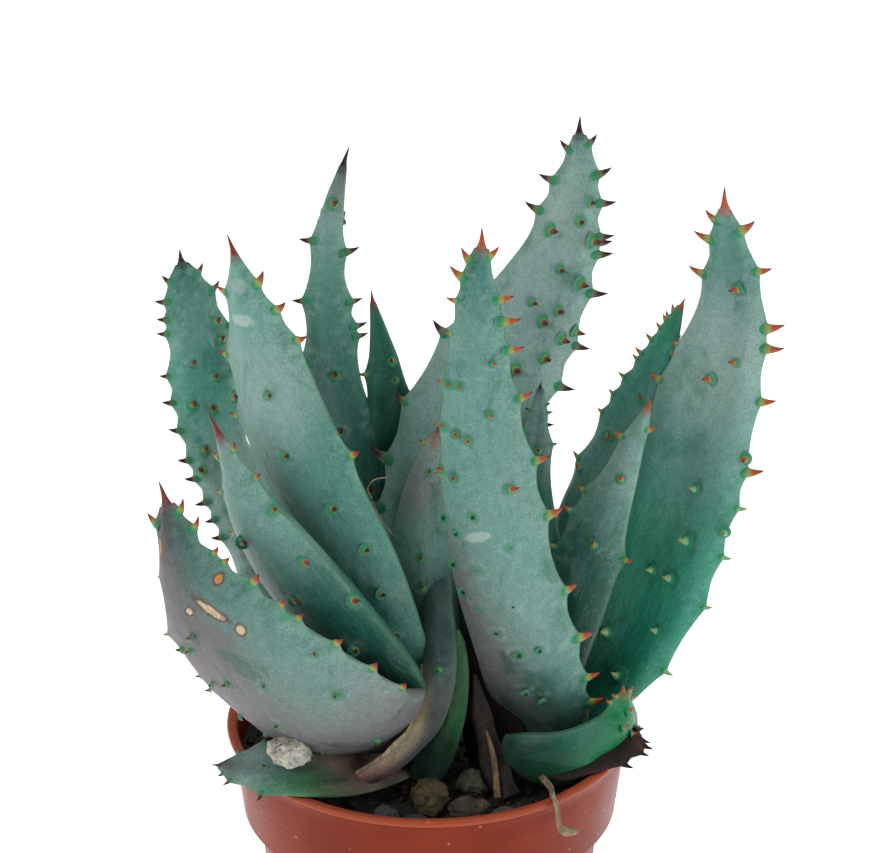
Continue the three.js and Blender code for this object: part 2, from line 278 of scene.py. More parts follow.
cameraView = {
    "distance": 0.9,  # from the middle of the rim
    "elevation": 30.0,  # degrees above the rim
    "aimAside": 0.002,
    "aimAbove": 0.083,  # above the rim
    "lens": 142.3,
}


def placeCamera(view):
    rimCentre = Vector(((potLow.x + potHigh.x) / 2, (potLow.y + potHigh.y) / 2, potHigh.z))
    lift = math.radians(view["elevation"])
    spot = rimCentre + view["distance"] * Vector((0, -math.cos(lift), math.sin(lift)))
    aim = rimCentre + Vector((view["aimAside"], 0, view["aimAbove"]))
    lensData = bpy.data.cameras.new("plantCamera")
    lensData.lens = view["lens"]
    camera = bpy.data.objects.new("plantCamera", lensData)
    camera.location = spot
    camera.rotation_euler = (aim - spot).to_track_quat("-Z", "Y").to_euler()
    bpy.context.scene.collection.objects.link(camera)
    bpy.context.scene.camera = camera


placeCamera(cameraView)
print("camera placed")

# ---- studio ----

studio = {
    "floorRadius": 3.0,
    "floorGrey": 0.9,
    "whiteFrom": 0.062,  # the floor is plain white from here out
    "whiteTo": 0.095,
    "worldStrength": 0.3,
    "lampsAim": (0, 0, 0.14),
    "lamps": {
        "keyLeft": {"at": (-0.88, -0.6, 0.95), "size": 0.6, "watts": 5.6},
        "fillRight": {"at": (1.02, -0.42, 0.55), "size": 0.6, "watts": 4.2},
        "topSoft": {"at": (0.05, 0.25, 1.25), "size": 0.8, "watts": 3.6},
    },
}


def makeStudio(settings):
    world = bpy.data.worlds.new("studioWhite")
    world.use_nodes = True
    world.node_tree.nodes["Background"].inputs["Color"].default_value = (1, 1, 1, 1)
    world.node_tree.nodes["Background"].inputs["Strength"].default_value = settings["worldStrength"]
    bpy.context.scene.world = world
    bpy.context.scene.view_settings.view_transform = "Standard"

    for name, lamp in settings["lamps"].items():
        light = bpy.data.lights.new(name, "AREA")
        light.size = lamp["size"]
        light.energy = lamp["watts"]
        holder = bpy.data.objects.new(name, light)
        holder.location = lamp["at"]
        towards = Vector(settings["lampsAim"]) - Vector(lamp["at"])
        holder.rotation_euler = towards.to_track_quat("-Z", "Y").to_euler()
        bpy.context.scene.collection.objects.link(holder)

    bpy.ops.mesh.primitive_circle_add(vertices=96, radius=settings["floorRadius"], fill_type="NGON")
    floor = bpy.context.object
    floor.name = "studioFloor"
    material, tree, shader = newMaterial("studioFloor")
    shader.inputs["Base Color"].default_value = (*[settings["floorGrey"]] * 3, 1)
    shader.inputs["Roughness"].default_value = 0.9
    shader.inputs["Emission Color"].default_value = (1, 1, 1, 1)
    place = addNode(tree, "ShaderNodeTexCoord").outputs["Object"]
    away = addNode(tree, "ShaderNodeVectorMath", {0: place}, operation="LENGTH").outputs["Value"]
    glow = ramp(tree, away, settings["whiteFrom"], settings["whiteTo"], 0.1, 0.85)
    tree.links.new(glow, shader.inputs["Emission Strength"])
    floor.data.materials.append(material)


makeStudio(studio)
print("studio set")

# ---- leaves ----

leafShape = {
    "belly": 0.42,  # outer side's bulge, as a share of the half width
    "trough": 0.05,  # inner side's rise in the middle, and how much more it has beside it
    "troughSides": 0.62,
    "edgeRound": 0.5,  # half thickness of the edge in mm
    "ringPitch": 0.8,  # mm between rings
    "skinPitch": 1.5,  # mm between points round a ring
    "halfRing": (14, 42),  # fewest and most points round one side
    "ripple": 0.3,  # mm
    "scallop": 2.3,  # mm that the edge stands out at a tooth
    "scallopReach": 3.6,
    "scallopPower": 9,  # how near the edge the skin follows it
    "scallopThin": 0.6,  # how much thinner the leaf is there
    "knob": 0.75,  # mm that the skin rises round a spine
    "haloAlong": 1.9,  # mm, size of the green ring round a spine
    "haloAcross": 1.8,
    "toneAlong": 0.11,  # how far a tone spreads, as shares of the length and of the half width
    "toneAcross": 0.62,
    "tipFade": 2.6,  # mm at the end that take the tip's colour
    "hiddenPitch": 14,  # mm of leaf to each spine on the side out of view
    "edgeLine": 0.7,  # mm, width of the pale line along the edge
    "toothGlow": 0.75,  # strength of the green at a tooth, and its reach in mm
    "toothGlowReach": 2.2,
}

thornKinds = {
    # colours of a thorn from the leaf's skin to its point
    "dark": ("jade", "olive", "thornPlum", "thornDark", "thornDark"),
    "orange": ("jade", "thornFoot", "thornOrange", "thornOrange", "thornPlum"),
    "red": ("jade", "thornFoot", "thornOrange", "thornRed", "thornPlum"),
    "bud": ("halo", "thornFoot", "thornBud", "thornPlum", "thornPlum"),
    "dot": ("jade", "moss", "mossDark", "mossDark", "umberDark"),
    "pale": ("jade", "paleGreen", "paleGreen", "thornFoot", "thornFoot"),
    "dead": ("umber", "umberDark", "umberDark", "umberDark", "umberDark"),
}

# Stations are [x, y, z, half width] in mm from the foot of the leaf's stem. Stations near the rim
# are [degrees round the pot, distance inside the rim, height above it, half width]. A place on a
# leaf is (share of its length, share of its half width towards its a edge). Facing is the way the
# inner side looks, and shows is the side in view: 1 is the inner one and -1 the outer one. A tooth
# is a share of the length, or (share, size). A tone is (place, name). A mark is (place, length,
# width, degrees, inside, border, strength).
leaves = {
    "left_leaf_front": {
        "foot": leftFoot, "shows": -1, "thorns": "red", "slot": "leaf_purple_grey",
        "facing": (0.3, 0.75, 0.55), "tipFacing": (0.3, 0.9, 0.2), "footFacing": (-0.45, 0.78, 0.45),
        "toothLength": 2.9, "spineLength": 1.1, "scallop": 4.4, "tipLength": 6.2,
        "stations": [
            (-3.4, -10, 17.3, 12), (-9.5, -16, 19, 18.6), (-21.5, -23, 26, 24), (-36.3, -27, 40, 21.8),
            (-49.2, -28, 56, 15.4), (-57, -24, 69, 6.8), (-60.4, -17.5, 79.5, 1.4),
        ],
        "aTeeth": [(0.955, 1.2), (0.8, 0.3), (0.65, 0.6)],
        "bTeeth": [
            0.97, 0.9, (0.8, 0.7), (0.765, 0.7), 0.69, (0.62, 0.8), (0.58, 0.8), 0.49, 0.4, 0.31,
        ],
        "spines": [
            (0.6, -1), (0.65, 0.3), (0.62, 0.8), (0.62, 0.55), (0.54, 0.25), (0.54, 0.55),
            (0.51, -0.25), (0.5, -0.9), (0.42, 0.1), (0.41, -0.7), (0.38, 0.65), (0.31, 0.15),
            (0.25, -0.4), (0.53, 1), (0.5, 0.95), (0.44, 0.7),
        ],
        "tones": [
            (0.1, 0, "plum"), (0.3, -0.8, "plumPale"), (0.28, 0, "plum"), (0.3, 0.7, "mauveDark"),
            (0.45, -0.8, "sea"), (0.45, 0.1, "plum"), (0.5, 0.9, "mauveDark"), (0.62, -0.9, "sea"),
            (0.65, 0, "plum"), (0.65, 0.8, "mauveDark"), (0.74, -0.9, "sea"), (0.8, -0.5, "bottle"),
            (0.82, 0.3, "mauveDark"), (0.9, -0.8, "slateDark"), (0.95, 0.4, "plumDark"),
        ],
        "marks": [
            (0.735, -0.8, 1.1, 1.1, 0, "cork", "bark", 1),
            (0.625, -0.55, 1.4, 1.2, 0, "cream", "bark", 0.95),
            (0.685, -0.34, 4.4, 1.1, -38, "cream", "bark", 0.9),
            (0.7, 0.1, 0.9, 1.3, 0, "cream", "bark", 0.9),
            (0.875, 0.72, 2.4, 0.8, 12, "cork", "bark", 0.9),
            (0.64, 0, 7, 2.2, -60, "mauveDark", "plum", 0.5),
        ],
    },
    "left_leaf_slanting": {
        "foot": leftFoot, "shows": -1, "thorns": "red", "slot": "leaf_blue_green",
        "facing": (0.6, 0.7, 0.3), "toothLength": 2.8, "spineLength": 1.8, "tipLength": 6.4,
        "spineLean": (0, -2), "bigness": 1.7,
        "stations": [
            (-1, -6, 12, 9), (-8, -12, 31, 14), (-19, -16, 47, 16.5), (-30, -17, 63, 15.2),
            (-38.6, -17, 77, 10.8), (-43.8, -15, 88, 4.8), (-47, -13, 95.5, 1.4),
        ],
        "aTeeth": [0.9, 0.75, 0.6, 0.45], "bTeeth": [0.93, 0.79],
        "spines": [(0.68, -0.95), (0.62, 0.2), (0.3, -0.5)],
        "bigSpines": [(0.53, -0.8), (0.4, -0.95), (0.45, -0.2)],
        "tones": [
            # painted shade: the bottleDark and bottle tones at the foot darken it where the front leaf's
            # edge shades it
            (0.1, 0, "bottleDark"), (0.25, 0, "bottleDark"), (0.36, -0.7, "bottle"),
            (0.38, 0.5, "seaDeep"), (0.55, 0, "sea"), (0.75, 0, "sea"), (0.9, 0, "sea"),
            (0.98, 0, "plumPale"),
        ],
        "marks": [
            (0.66, 0.25, 2.2, 3, 10, "mist", "sea", 0.35),
            (0.72, -0.3, 1.6, 2.4, -12, "mist", "sea", 0.35),
        ],
    },
    "left_leaf_tall": {
        "foot": leftFoot, "shows": -1, "thorns": "red", "slot": "leaf_blue_green",
        "facing": (0.5, 0.8, 0.2), "toothLength": 2.6, "spineLength": 1.8, "tipLength": 6,
        "spineLean": (0, -1.5),
        "stations": [
            (-1, -2, 11, 11), (-7, -4, 34, 13), (-15.5, -6, 58, 15.5), (-24, -7, 78, 15.6),
            (-31, -7, 97.5, 14), (-36.2, -6, 116.5, 10.6), (-40.3, -5, 130, 5.2),
            (-42.8, -4, 139.6, 1.3),
        ],
        "aTeeth": [0.87, 0.7, 0.58, 0.46], "bTeeth": [(0.9, 1.5), (0.81, 1.3), (0.73, 1.1), 0.5],
        "spines": [
            (0.64, -0.2), (0.62, 0.95), (0.53, -0.15), (0.42, -0.55), (0.33, -0.7), (0.25, -0.65),
            (0.18, -0.6),
        ],
        "tones": [
            (0.15, -0.3, "seaDeep"), (0.3, 0, "fresh"), (0.45, -0.7, "seaDeep"), (0.48, 0.3, "sea"),
            (0.65, 0, "powder"), (0.8, 0, "fresh"), (0.92, 0, "fresh"),
        ],
        "marks": [
            (0.8, 0.1, 1.8, 4.4, 8, "white", "fresh", 0.4),
            (0.9, -0.1, 2.4, 2.6, -10, "white", "fresh", 0.26),
        ],
    },
    "left_leaf_centre": {
        "foot": leftFoot, "shows": -1, "thorns": "red", "slot": "leaf_purple_grey",
        "facing": (0, 0.95, 0.1), "toothLength": 1.8, "spineLength": 1.2,
        "stations": [
            (4, -2, 5, 8), (4.4, -2, 31, 9.5), (3, 1, 54, 8.8), (3, 2, 70, 6.5), (4, 4, 81, 3.3),
            (6, 5, 88.5, 0.6),
        ],
        "aTeeth": [0.9], "bTeeth": [0.85],
        "spines": [(0.75, -0.05), (0.43, 0.1), (0.35, 0.1), (0.13, -0.15), (0.07, 0.1)],
        "tones": [
            (0.05, 0, "slateDark"), (0.25, 0.4, "slateDark"), (0.25, -0.6, "slateDark"),
            (0.5, 0, "sea"), (0.7, 0.3, "plumPale"), (0.85, 0, "sea"), (0.97, 0, "rose"),
        ],
        "marks": [(0.3, -0.2, 5, 1.6, 14, "plumPale", "slateDark", 0.25)],
    },
    "left_leaf_arching": {
        "foot": leftFoot, "shows": 1, "thorns": "dark", "slot": "leaf_blue_green",
        "facing": (-0.1, -0.95, 0.2), "toothLength": 3.4, "spineLength": 2.0, "tipLength": 5,
        "spineLean": (0, 0.6),
        "stations": [
            (-1, 1, 20, 9), (3, 5, 40.5, 12), (6, 9, 62, 14), (10.7, 13, 80.5, 14.8),
            (17.7, 17, 94, 15.4), (25.6, 20, 107.5, 13.8), (32.6, 23, 120, 11), (37.3, 25, 131.5, 8),
            (40.3, 27, 144, 5.3), (41.5, 28, 154, 2.8), (41.3, 28, 159, 1.2),
        ],
        "aTeeth": [0.95, 0.85, 0.79, 0.73, 0.72, 0.7, 0.63, 0.54, 0.47, 0.4],
        "bTeeth": [0.92, 0.82, 0.75, 0.45, 0.33, (0.26, 1.3), (0.2, 1.3)],
        "spines": [
            (0.72, -0.5), (0.75, 0.5), (0.72, 0.9), (0.65, 0.25), (0.64, 0.8), (0.57, -0.05),
            (0.58, 0.55), (0.55, 0.35), (0.56, 0.98), (0.54, 0.8), (0.5, 0.65), (0.46, 0.3),
            (0.79, 0.75),
        ],
        "tones": [
            (0.1, 0, "seaDeep"), (0.2, -0.4, "fresh"), (0.28, -0.5, "powder"), (0.4, 0, "powder"),
            (0.6, 0, "powder"), (0.82, 0, "mist"), (0.92, 0.3, "sea"), (0.98, 0, "slate"),
        ],
    },
    "left_leaf_upright": {
        "foot": leftFoot, "shows": 1, "thorns": "dark", "slot": "leaf_blue_green",
        "facing": (0.2, -0.95, 0.2), "toothLength": 3, "spineLength": 1.8, "tipLength": 6,
        "stations": [
            (-3, 4, 11, 9), (-8, 11, 36, 9.5), (-14, 16, 65.5, 8.6), (-19.2, 19, 91.5, 7),
            (-21.3, 20, 113, 5.2), (-21.2, 21, 131, 3.6), (-19.5, 21, 143, 2.6), (-17.2, 21, 153, 1.1),
        ],
        "aTeeth": [0.71, 0.6, 0.55, 0.53, 0.38, 0.3], "bTeeth": [0.74, 0.61, 0.5, 0.4],
        "spines": [(0.87, -0.25), (0.47, 0), (0.38, -0.2), (0.29, 0.4)],
        "tones": [
            (0.15, 0, "bottleDark"), (0.3, 0.3, "bottle"), (0.4, -0.5, "slate"), (0.55, 0, "seaDeep"),
            (0.7, 0, "fresh"), (0.85, 0, "powder"), (0.97, 0, "plumDark"),
        ],
    },
    "left_leaf_young": {
        "foot": leftFoot, "shows": 1, "thorns": "red", "slot": "leaf_deep_green",
        "facing": (0.2, -0.95, 0.1), "toothLength": 2.0, "spineLength": 1.6, "tipLength": 4,
        "stations": [
            (0, 8, 20, 6), (-4, 17, 58, 7), (-6, 20, 79.5, 6), (-7, 22, 97.5, 4), (-8.3, 23, 106, 2.6),
            (-10, 23, 115.5, 0.9),
        ],
        "aTeeth": [0.5, 0.34], "bTeeth": [0.6, 0.45], "spines": [(0.65, 0.5), (0.57, 0.5), (0.42, 0.8)],
        "tones": [
            (0.2, 0, "bottleDark"), (0.5, 0, "bottle"), (0.75, 0, "bottle"), (0.95, 0, "bottle"),
        ],
    },
    "left_leaf_back": {
        "foot": leftFoot, "shows": 1, "thorns": "dark", "slot": "leaf_blue_green",
        "facing": (0.4, -0.9, 0.2), "toothLength": 2.3, "spineLength": 1.8, "tipLength": 3.6,
        "stations": [
            (-4, 2, 10, 6), (-21.5, 8, 20, 10), (-33.5, 12, 38, 9.6), (-41.8, 14, 58, 7),
            (-48.9, 15, 78, 7.3), (-52.9, 17, 96, 7.5), (-54.3, 18, 111, 6.7), (-56.5, 19, 122, 4.3),
            (-57.6, 20, 128, 1.2),
        ],
        "aTeeth": [0.93, 0.84, 0.74, 0.64, 0.55, 0.46],
        "bTeeth": [0.92, 0.85, 0.8, 0.76, 0.66, 0.61, 0.56, 0.51, 0.48, 0.44, 0.41, 0.38],
        "spines": [
            (0.76, 0.75), (0.72, 0.75), (0.68, -0.4), (0.64, 0.45), (0.6, -0.6), (0.58, 0.1),
            (0.52, -0.6), (0.49, -0.1), (0.49, -0.85), (0.42, -0.55),
        ],
        "tones": [
            # painted light: the pale mistPale tone low down lightens a part of the leaf that lies in shade
            (0.2, 0, "mist"), (0.44, 0, "mistPale"), (0.6, 0, "seaBright"), (0.78, 0, "sea"),
            (0.88, 0, "seaDeep"), (0.96, 0, "bottle"),
        ],
    },
    "left_leaf_old": {
        "foot": leftFoot, "shows": -1, "thorns": "dark", "slot": "leaf_deep_green",
        "facing": (0.3, 0.9, 0.1), "fatness": 1.3, "toothLength": 1.4, "spineLength": 1.2,
        "tipLength": 0, "crumple": 2.6,
        "stations": [
            (2.4, -15, -1, 4), (5.6, -15, 8, 5), (8.6, -13, 18, 4.8), (10.3, -11.5, 28, 4),
            (10.2, -10.6, 36, 3.3), (9.8, -10, 40.5, 2),
        ],
        "aTeeth": [0.75, 0.6], "spines": [(0.62, 0.3), (0.45, 0.1)],
        "tones": [
            (0.1, 0, "slateDark"), (0.3, 0, "mossDark"), (0.45, -0.5, "moss"), (0.55, -0.3, "mossDark"),
            (0.5, 0.8, "umber"), (0.65, 0, "moss"), (0.8, 0.3, "mossDark"), (0.97, 0, "moss"),
        ],
        "marks": [
            (0.8, -0.2, 3, 1, 20, "powder", "moss", 0.4),
            (0.6, 0.5, 2, 1.1, -30, "umber", "mossDark", 0.8),
            (0.45, 0.3, 3.4, 0.9, 10, "powder", "moss", 0.35),
            (0.3, 0.6, 2.4, 1.4, 0, "umber", "mossDark", 0.7),
        ],
    },
    "left_leaf_low": {
        "foot": leftFoot, "shows": 1, "thorns": "dark", "slot": "leaf_purple_grey",
        "facing": (0.1, -0.4, 0.9), "toothLength": 1.8, "spineLength": 1.0,
        "stations": [(1, -6, 0, 4)],
        "rimStations": [
            (240, 25, -2, 6), (232, 13, 3, 9), (224, 4, 4.5, 8), (215, -3, 4, 5.5), (208, -7.5, 2, 0.6),
        ],
        "aTeeth": [0.9, 0.75, 0.6], "bTeeth": [0.94, 0.87, 0.7], "spines": [(0.5, 0.3), (0.7, -0.2)],
        "tones": [
            (0.08, 0, "umber"), (0.25, 0.4, "maroon"), (0.25, -0.6, "maroon"), (0.4, 0.5, "maroon"),
            (0.4, -0.7, "umber"), (0.55, 0.6, "mossDark"), (0.54, -0.7, "moss"), (0.65, 0, "slate"),
            (0.78, 0, "powder"), (0.93, 0, "plumDark"),
        ],
    },
    "clasping_sheath": {
        # the foot of the low leaf, which wraps the left stem and runs out under the front leaf
        "foot": leftFoot, "shows": -1, "thorns": "dark", "slot": "leaf_purple_grey", "fatness": 1.2,
        "facing": (0.2, 0.9, 0.35), "toothLength": 1.0, "spineLength": 1.0, "tipLength": 0,
        "stations": [
            (4, 4, 56, 5.5), (5.2, -2, 47, 5.4), (6.3, -8.5, 40, 5.1), (6.7, -14, 33, 4.6),
            (5.6, -18.5, 26.2, 4.2), (2.7, -22, 19.5, 3.9), (-2.6, -26, 14.6, 3.6),
            (-8.5, -28, 10.5, 3.3), (-14.5, -27, 6.8, 2.4), (-20.5, -24.5, 4.2, 0.5),
        ],
        "spines": [(0.36, 0.1)],
        "tones": [
            (0.05, 0, "slateDark"), (0.2, 0, "slateDark"), (0.38, 0, "slateDark"),
            (0.5, -0.95, "straw"), (0.5, 0.3, "plumDark"), (0.65, -0.95, "straw"),
            (0.65, 0.3, "plumDark"), (0.8, -0.8, "rose"), (0.8, 0.3, "maroon"), (0.95, 0, "maroon"),
        ],
    },
    "dead_husk": {
        # the dark remains of older leaves between the two stems; its near-black colour also fills the
        # shaded gap there, so it is partly painted shade
        "foot": rightFoot, "shows": -1, "thorns": "dead", "slot": "dried_leaf", "fatness": 0.5,
        "facing": (0.2, 0.95, 0.1), "toothLength": 1.0, "spineLength": 1.0, "tipLength": 0,
        "stations": [
            (-14, -11, -1, 8), (-16.5, -9.5, 14, 8), (-19, -8, 28, 6.5), (-21, -6, 42, 4),
            (-22, -5, 50, 1.5),
        ],
        "tones": [(0.1, 0, "umberDark"), (0.5, 0, "umberDark"), (0.8, 0, "mossDark")],
    },
    "right_leaf_front": {
        "foot": rightFoot, "shows": -1, "thorns": "orange", "slot": "leaf_blue_green",
        "facing": (0.1, 0.95, 0.1), "toothLength": 3.6, "spineLength": 1.3, "dotsBelow": 0.42,
        "tipLength": 5, "spineLean": (0.1, -0.6),
        "stations": [
            (-3, -6, 9, 12), (-7.5, -15, 35, 12.8), (-13.6, -20, 61, 12.7), (-17.4, -20, 85, 11.4),
            (-19.9, -18, 107, 8.7), (-20.4, -16, 126, 5.2), (-20, -14, 137.5, 3.1),
            (-19.4, -13, 144.3, 1.3),
        ],
        "aTeeth": [0.93, 0.85, (0.77, 0.7), (0.69, 0.45), (0.6, 0.4), (0.53, 0.4), (0.45, 0.35)],
        "bTeeth": [0.965, 0.78, 0.72, 0.66, 0.57, 0.46, 0.37, 0.24, 0.16, 0.09, 0.04],
        "spines": [
            (0.6, 0.5), (0.55, -0.3), (0.52, 0.6), (0.51, 0.3), (0.53, 0.95), (0.46, 0.98), (0.45, 0.7),
            (0.39, 0.35), (0.38, 0.98), (0.36, 0.75), (0.34, -0.3), (0.31, 0.4), (0.31, 0.9),
            (0.27, 0.8), (0.25, 0.55), (0.25, -0.1), (0.21, 0.35), (0.17, 0.05), (0.17, -0.35),
            (0.1, 0.1), (0.08, -0.2), (0.64, -0.55), (0.6, 0.85),
        ],
        "bigSpines": [(0.43, -0.5)],
        "tones": [
            # the slate, plum and mauve tones low on the leaf are partly its purple blush and partly painted
            # shade on the underside, which faces down
            (0.03, 0.6, "slateDark"), (0.05, -0.5, "seaDeep"), (0.12, 0.8, "mauveDark"),
            (0.1, 0.2, "plum"), (0.15, -0.4, "sea"), (0.22, 0.9, "mauveDark"), (0.3, 0, "sea"),
            (0.5, 0.4, "fresh"), (0.5, -0.6, "sea"), (0.7, 0, "sea"), (0.85, 0, "seaDeep"),
            (0.95, 0, "seaDeep"),
        ],
        "marks": [(0.36, 0.3, 1.7, 4.2, -8, "white", "fresh", 0.42)],
    },
    "right_leaf_big": {
        "foot": rightFoot, "shows": 1, "thorns": "orange", "slot": "leaf_blue_green",
        "skin": "leaf_deep_green", "facing": (-0.35, -0.9, 0.25), "toothLength": 4, "spineLength": 1.9,
        "paleBelow": 0.45, "tipLength": 7, "spineLean": (-0.2, -0.6), "scallop": 1.7,
        "stations": [
            (1, 3, 10, 11), (13.5, 5, 21.5, 12.5), (24, 8, 39.5, 14), (30, 12, 58, 14.6),
            (35, 16, 75, 14.2), (39.8, 19, 93, 12.4), (43.7, 20, 111, 9.1), (43.8, 20, 125, 6),
            (42.2, 18, 136, 3.5), (41.3, 16.5, 142.5, 1.4),
        ],
        "aTeeth": [0.9, 0.78, 0.67, 0.64, 0.56, 0.45, 0.39, 0.31, 0.24, 0.15],
        "bTeeth": [0.94, 0.86, 0.76, (0.6, 0.45), (0.54, 0.7), (0.48, 0.5)],
        "spines": [
            (0.74, 0.35), (0.61, 0.45), (0.57, -0.05), (0.47, 0.95), (0.4, 0.3), (0.32, 0.45),
            (0.35, 0.95), (0.26, 0.35), (0.26, -0.05), (0.19, 0.55), (0.11, 0.45), (0.15, -0.3),
        ],
        "tones": [
            # the bottle and emerald tones low down are partly the less waxy skin near the foot and partly
            # painted shade in the leaf's hollow near the rosette's centre
            (0.05, 0, "bottleDark"), (0.2, -0.6, "bottle"), (0.22, 0.5, "emerald"),
            (0.3, -0.6, "emerald"), (0.3, 0.4, "emerald"), (0.28, 0.95, "seaBright"),
            (0.4, -0.6, "seaDeep"), (0.41, 0.6, "fresh"), (0.42, 0, "sea"), (0.57, 0, "mist"),
            (0.68, 0, "powder"), (0.82, 0, "seaDeep"), (0.93, 0, "sea"),
        ],
        "marks": [(0.46, -0.2, 0.7, 2.6, -30, "bottle", "fresh", 0.5)],
    },
    "right_leaf_slanting": {
        "foot": rightFoot, "shows": -1, "thorns": "orange", "slot": "leaf_blue_green",
        "facing": (0.4, 0.85, 0.1), "toothLength": 2.4, "spineLength": 1.5, "tipLength": 3.8,
        "stations": [
            (-4, -1, 11, 7.5), (1, 0, 28, 8.3), (6, 0, 45, 8.5), (11, 1, 62, 7), (16, 1, 76, 4.6),
            (19.8, 2, 87, 2.4), (22.4, 2, 94.5, 0.9),
        ],
        "aTeeth": [0.81, 0.58, 0.51, 0.41], "bTeeth": [0.9, 0.45],
        "spines": [(0.68, -0.15), (0.47, -0.1), (0.33, 0.5)],
        "tones": [
            (0.1, 0, "bottleDark"), (0.28, 0, "bottleDark"), (0.42, 0, "bottle"), (0.56, 0, "sea"),
            (0.75, 0, "powder"), (0.92, 0, "sea"),
        ],
    },
    "right_leaf_back": {
        "foot": rightFoot, "shows": 1, "thorns": "orange", "slot": "leaf_deep_green",
        "facing": (-0.5, -0.8, 0.2), "toothLength": 1.9, "spineLength": 1.4,
        "stations": [
            (1, 6, 12, 7), (5, 15, 32, 7.5), (7.2, 21, 51, 7.7), (12.5, 25, 64, 6.8), (19, 28, 78, 6.2),
            (25.2, 29, 92, 4.4), (29.8, 29, 104, 2.4), (32.2, 29, 111, 0.8),
        ],
        "aTeeth": [0.8, 0.65, 0.5],
        "bTeeth": [0.96, 0.91, 0.89, 0.85, 0.8, 0.75, 0.73, 0.67, 0.62, 0.57, 0.45],
        "spines": [(0.8, 0.9), (0.65, 0.15), (0.53, -0.4), (0.43, -0.9)],
        "tones": [
            (0.15, 0, "bottleDark"), (0.28, 0, "bottle"), (0.42, 0, "fresh"), (0.62, 0.3, "fresh"),
            (0.7, -0.5, "seaBright"), (0.82, 0.4, "seaBright"), (0.9, -0.3, "jade"),
        ],
    },
    "right_leaf_young": {
        "foot": rightFoot, "shows": 1, "thorns": "dark", "slot": "leaf_deep_green",
        "facing": (0.1, -0.9, 0.2), "toothLength": 1.5, "spineLength": 1.2,
        "stations": [
            (-1, 3, 20, 6), (-3, 5, 44, 6.5), (-5.8, 6, 68, 5.2), (-5.2, 6, 82, 3.4),
            (-4.6, 6, 92, 1.8), (-4.2, 6, 98.5, 0.7),
        ],
        "aTeeth": [0.86, 0.8, 0.62], "bTeeth": [0.82, 0.69], "spines": [(0.6, 0.2)],
        "tones": [(0.3, 0, "bottle"), (0.6, 0, "slate"), (0.85, 0, "slate")],
    },
    "right_leaf_low": {
        "foot": rightFoot, "shows": -1, "thorns": "orange", "slot": "leaf_deep_green",
        "facing": (-0.1, 0.95, 0.15), "tipFacing": (-0.6, 0.75, 0.2), "fatness": 1.15,
        "toothLength": 2.2, "spineLength": 1.2, "tipLength": 2,
        "stations": [(-12, -19, 10, 4), (-7.5, -23.5, 10, 7.5)],
        "rimStations": [
            (-37, 10.5, 2.2, 9), (-25, 5.5, 3.4, 8.6), (-17, 2.5, 6.4, 6.4), (-13.5, 1.8, 11.5, 2.6),
            (-13, 1.8, 13.5, 1),
        ],
        "aTeeth": [0.9, 0.8], "bTeeth": [0.93, 0.85, 0.7],
        "spines": [(0.75, 0), (0.66, -0.5), (0.62, 0.3), (0.4, -0.1)],
        "tones": [
            (0.08, 0, "slateDark"), (0.25, 0.3, "bottleDark"), (0.3, -0.5, "moss"),
            (0.5, -0.5, "leafEmerald"), (0.5, 0.2, "leafEmerald"), (0.45, 0.95, "bottle"),
            (0.7, 0, "leafEmerald"), (0.75, 0.8, "leafEmerald"), (0.9, 0, "leafEmerald"),
        ],
    },
    "right_leaf_dried": {
        "foot": rightFoot, "shows": 1, "thorns": "dead", "slot": "dried_leaf",
        "facing": (0.1, -0.35, 0.9), "fatness": 0.45, "toothLength": 2.4, "spineLength": 0.8,
        "stations": [(2, -17, 3, 3)],
        "rimStations": [
            (-40, 9, 0.5, 3.6), (-31, 4, 2.6, 4.4), (-22, 1.2, 3.2, 5), (-15.8, -0.4, 3, 4.2),
            (-12.5, -1.8, 2.4, 1.2),
        ],
        "aTeeth": [0.9, 0.78, 0.66, 0.5], "bTeeth": [0.95, 0.88, 0.8, 0.72, 0.62, 0.5, 0.4],
        "spines": [(0.75, 0.1), (0.6, -0.3)],
        "tones": [
            (0.2, 0, "umberDark"), (0.5, 0, "umberDark"), (0.8, 0, "umberDark"), (0.85, 0.8, "bark"),
        ],
    },
}


def splineAt(points, shares):
    # a smooth curve through points, spaced by their order
    points = np.asarray(points, float)
    cells = len(points) - 1
    line = np.vstack([2 * points[0] - points[1], points, 2 * points[-1] - points[-2]])
    spot = np.clip(np.asarray(shares, float), 0, 1) * cells
    cell = np.minimum(spot.astype(int), cells - 1)
    w = (spot - cell)[:, None]
    before, start, end, after = (line[cell + k] for k in range(4))
    leave = (end - before) / 2
    arrive = (after - start) / 2
    cubic = 2 * start - 2 * end + leave + arrive
    square = -3 * start + 3 * end - 2 * leave - arrive
    return ((cubic * w + square) * w + leave) * w + start


def unit(vectors):
    return vectors / np.linalg.norm(vectors, axis=-1, keepdims=True)


def rimPlace(station):
    degrees, inset, lift, half = station
    angle = math.radians(degrees)
    reach = rimRadius - inset
    return (reach * math.cos(angle), reach * math.sin(angle), rimHeight + lift, half)


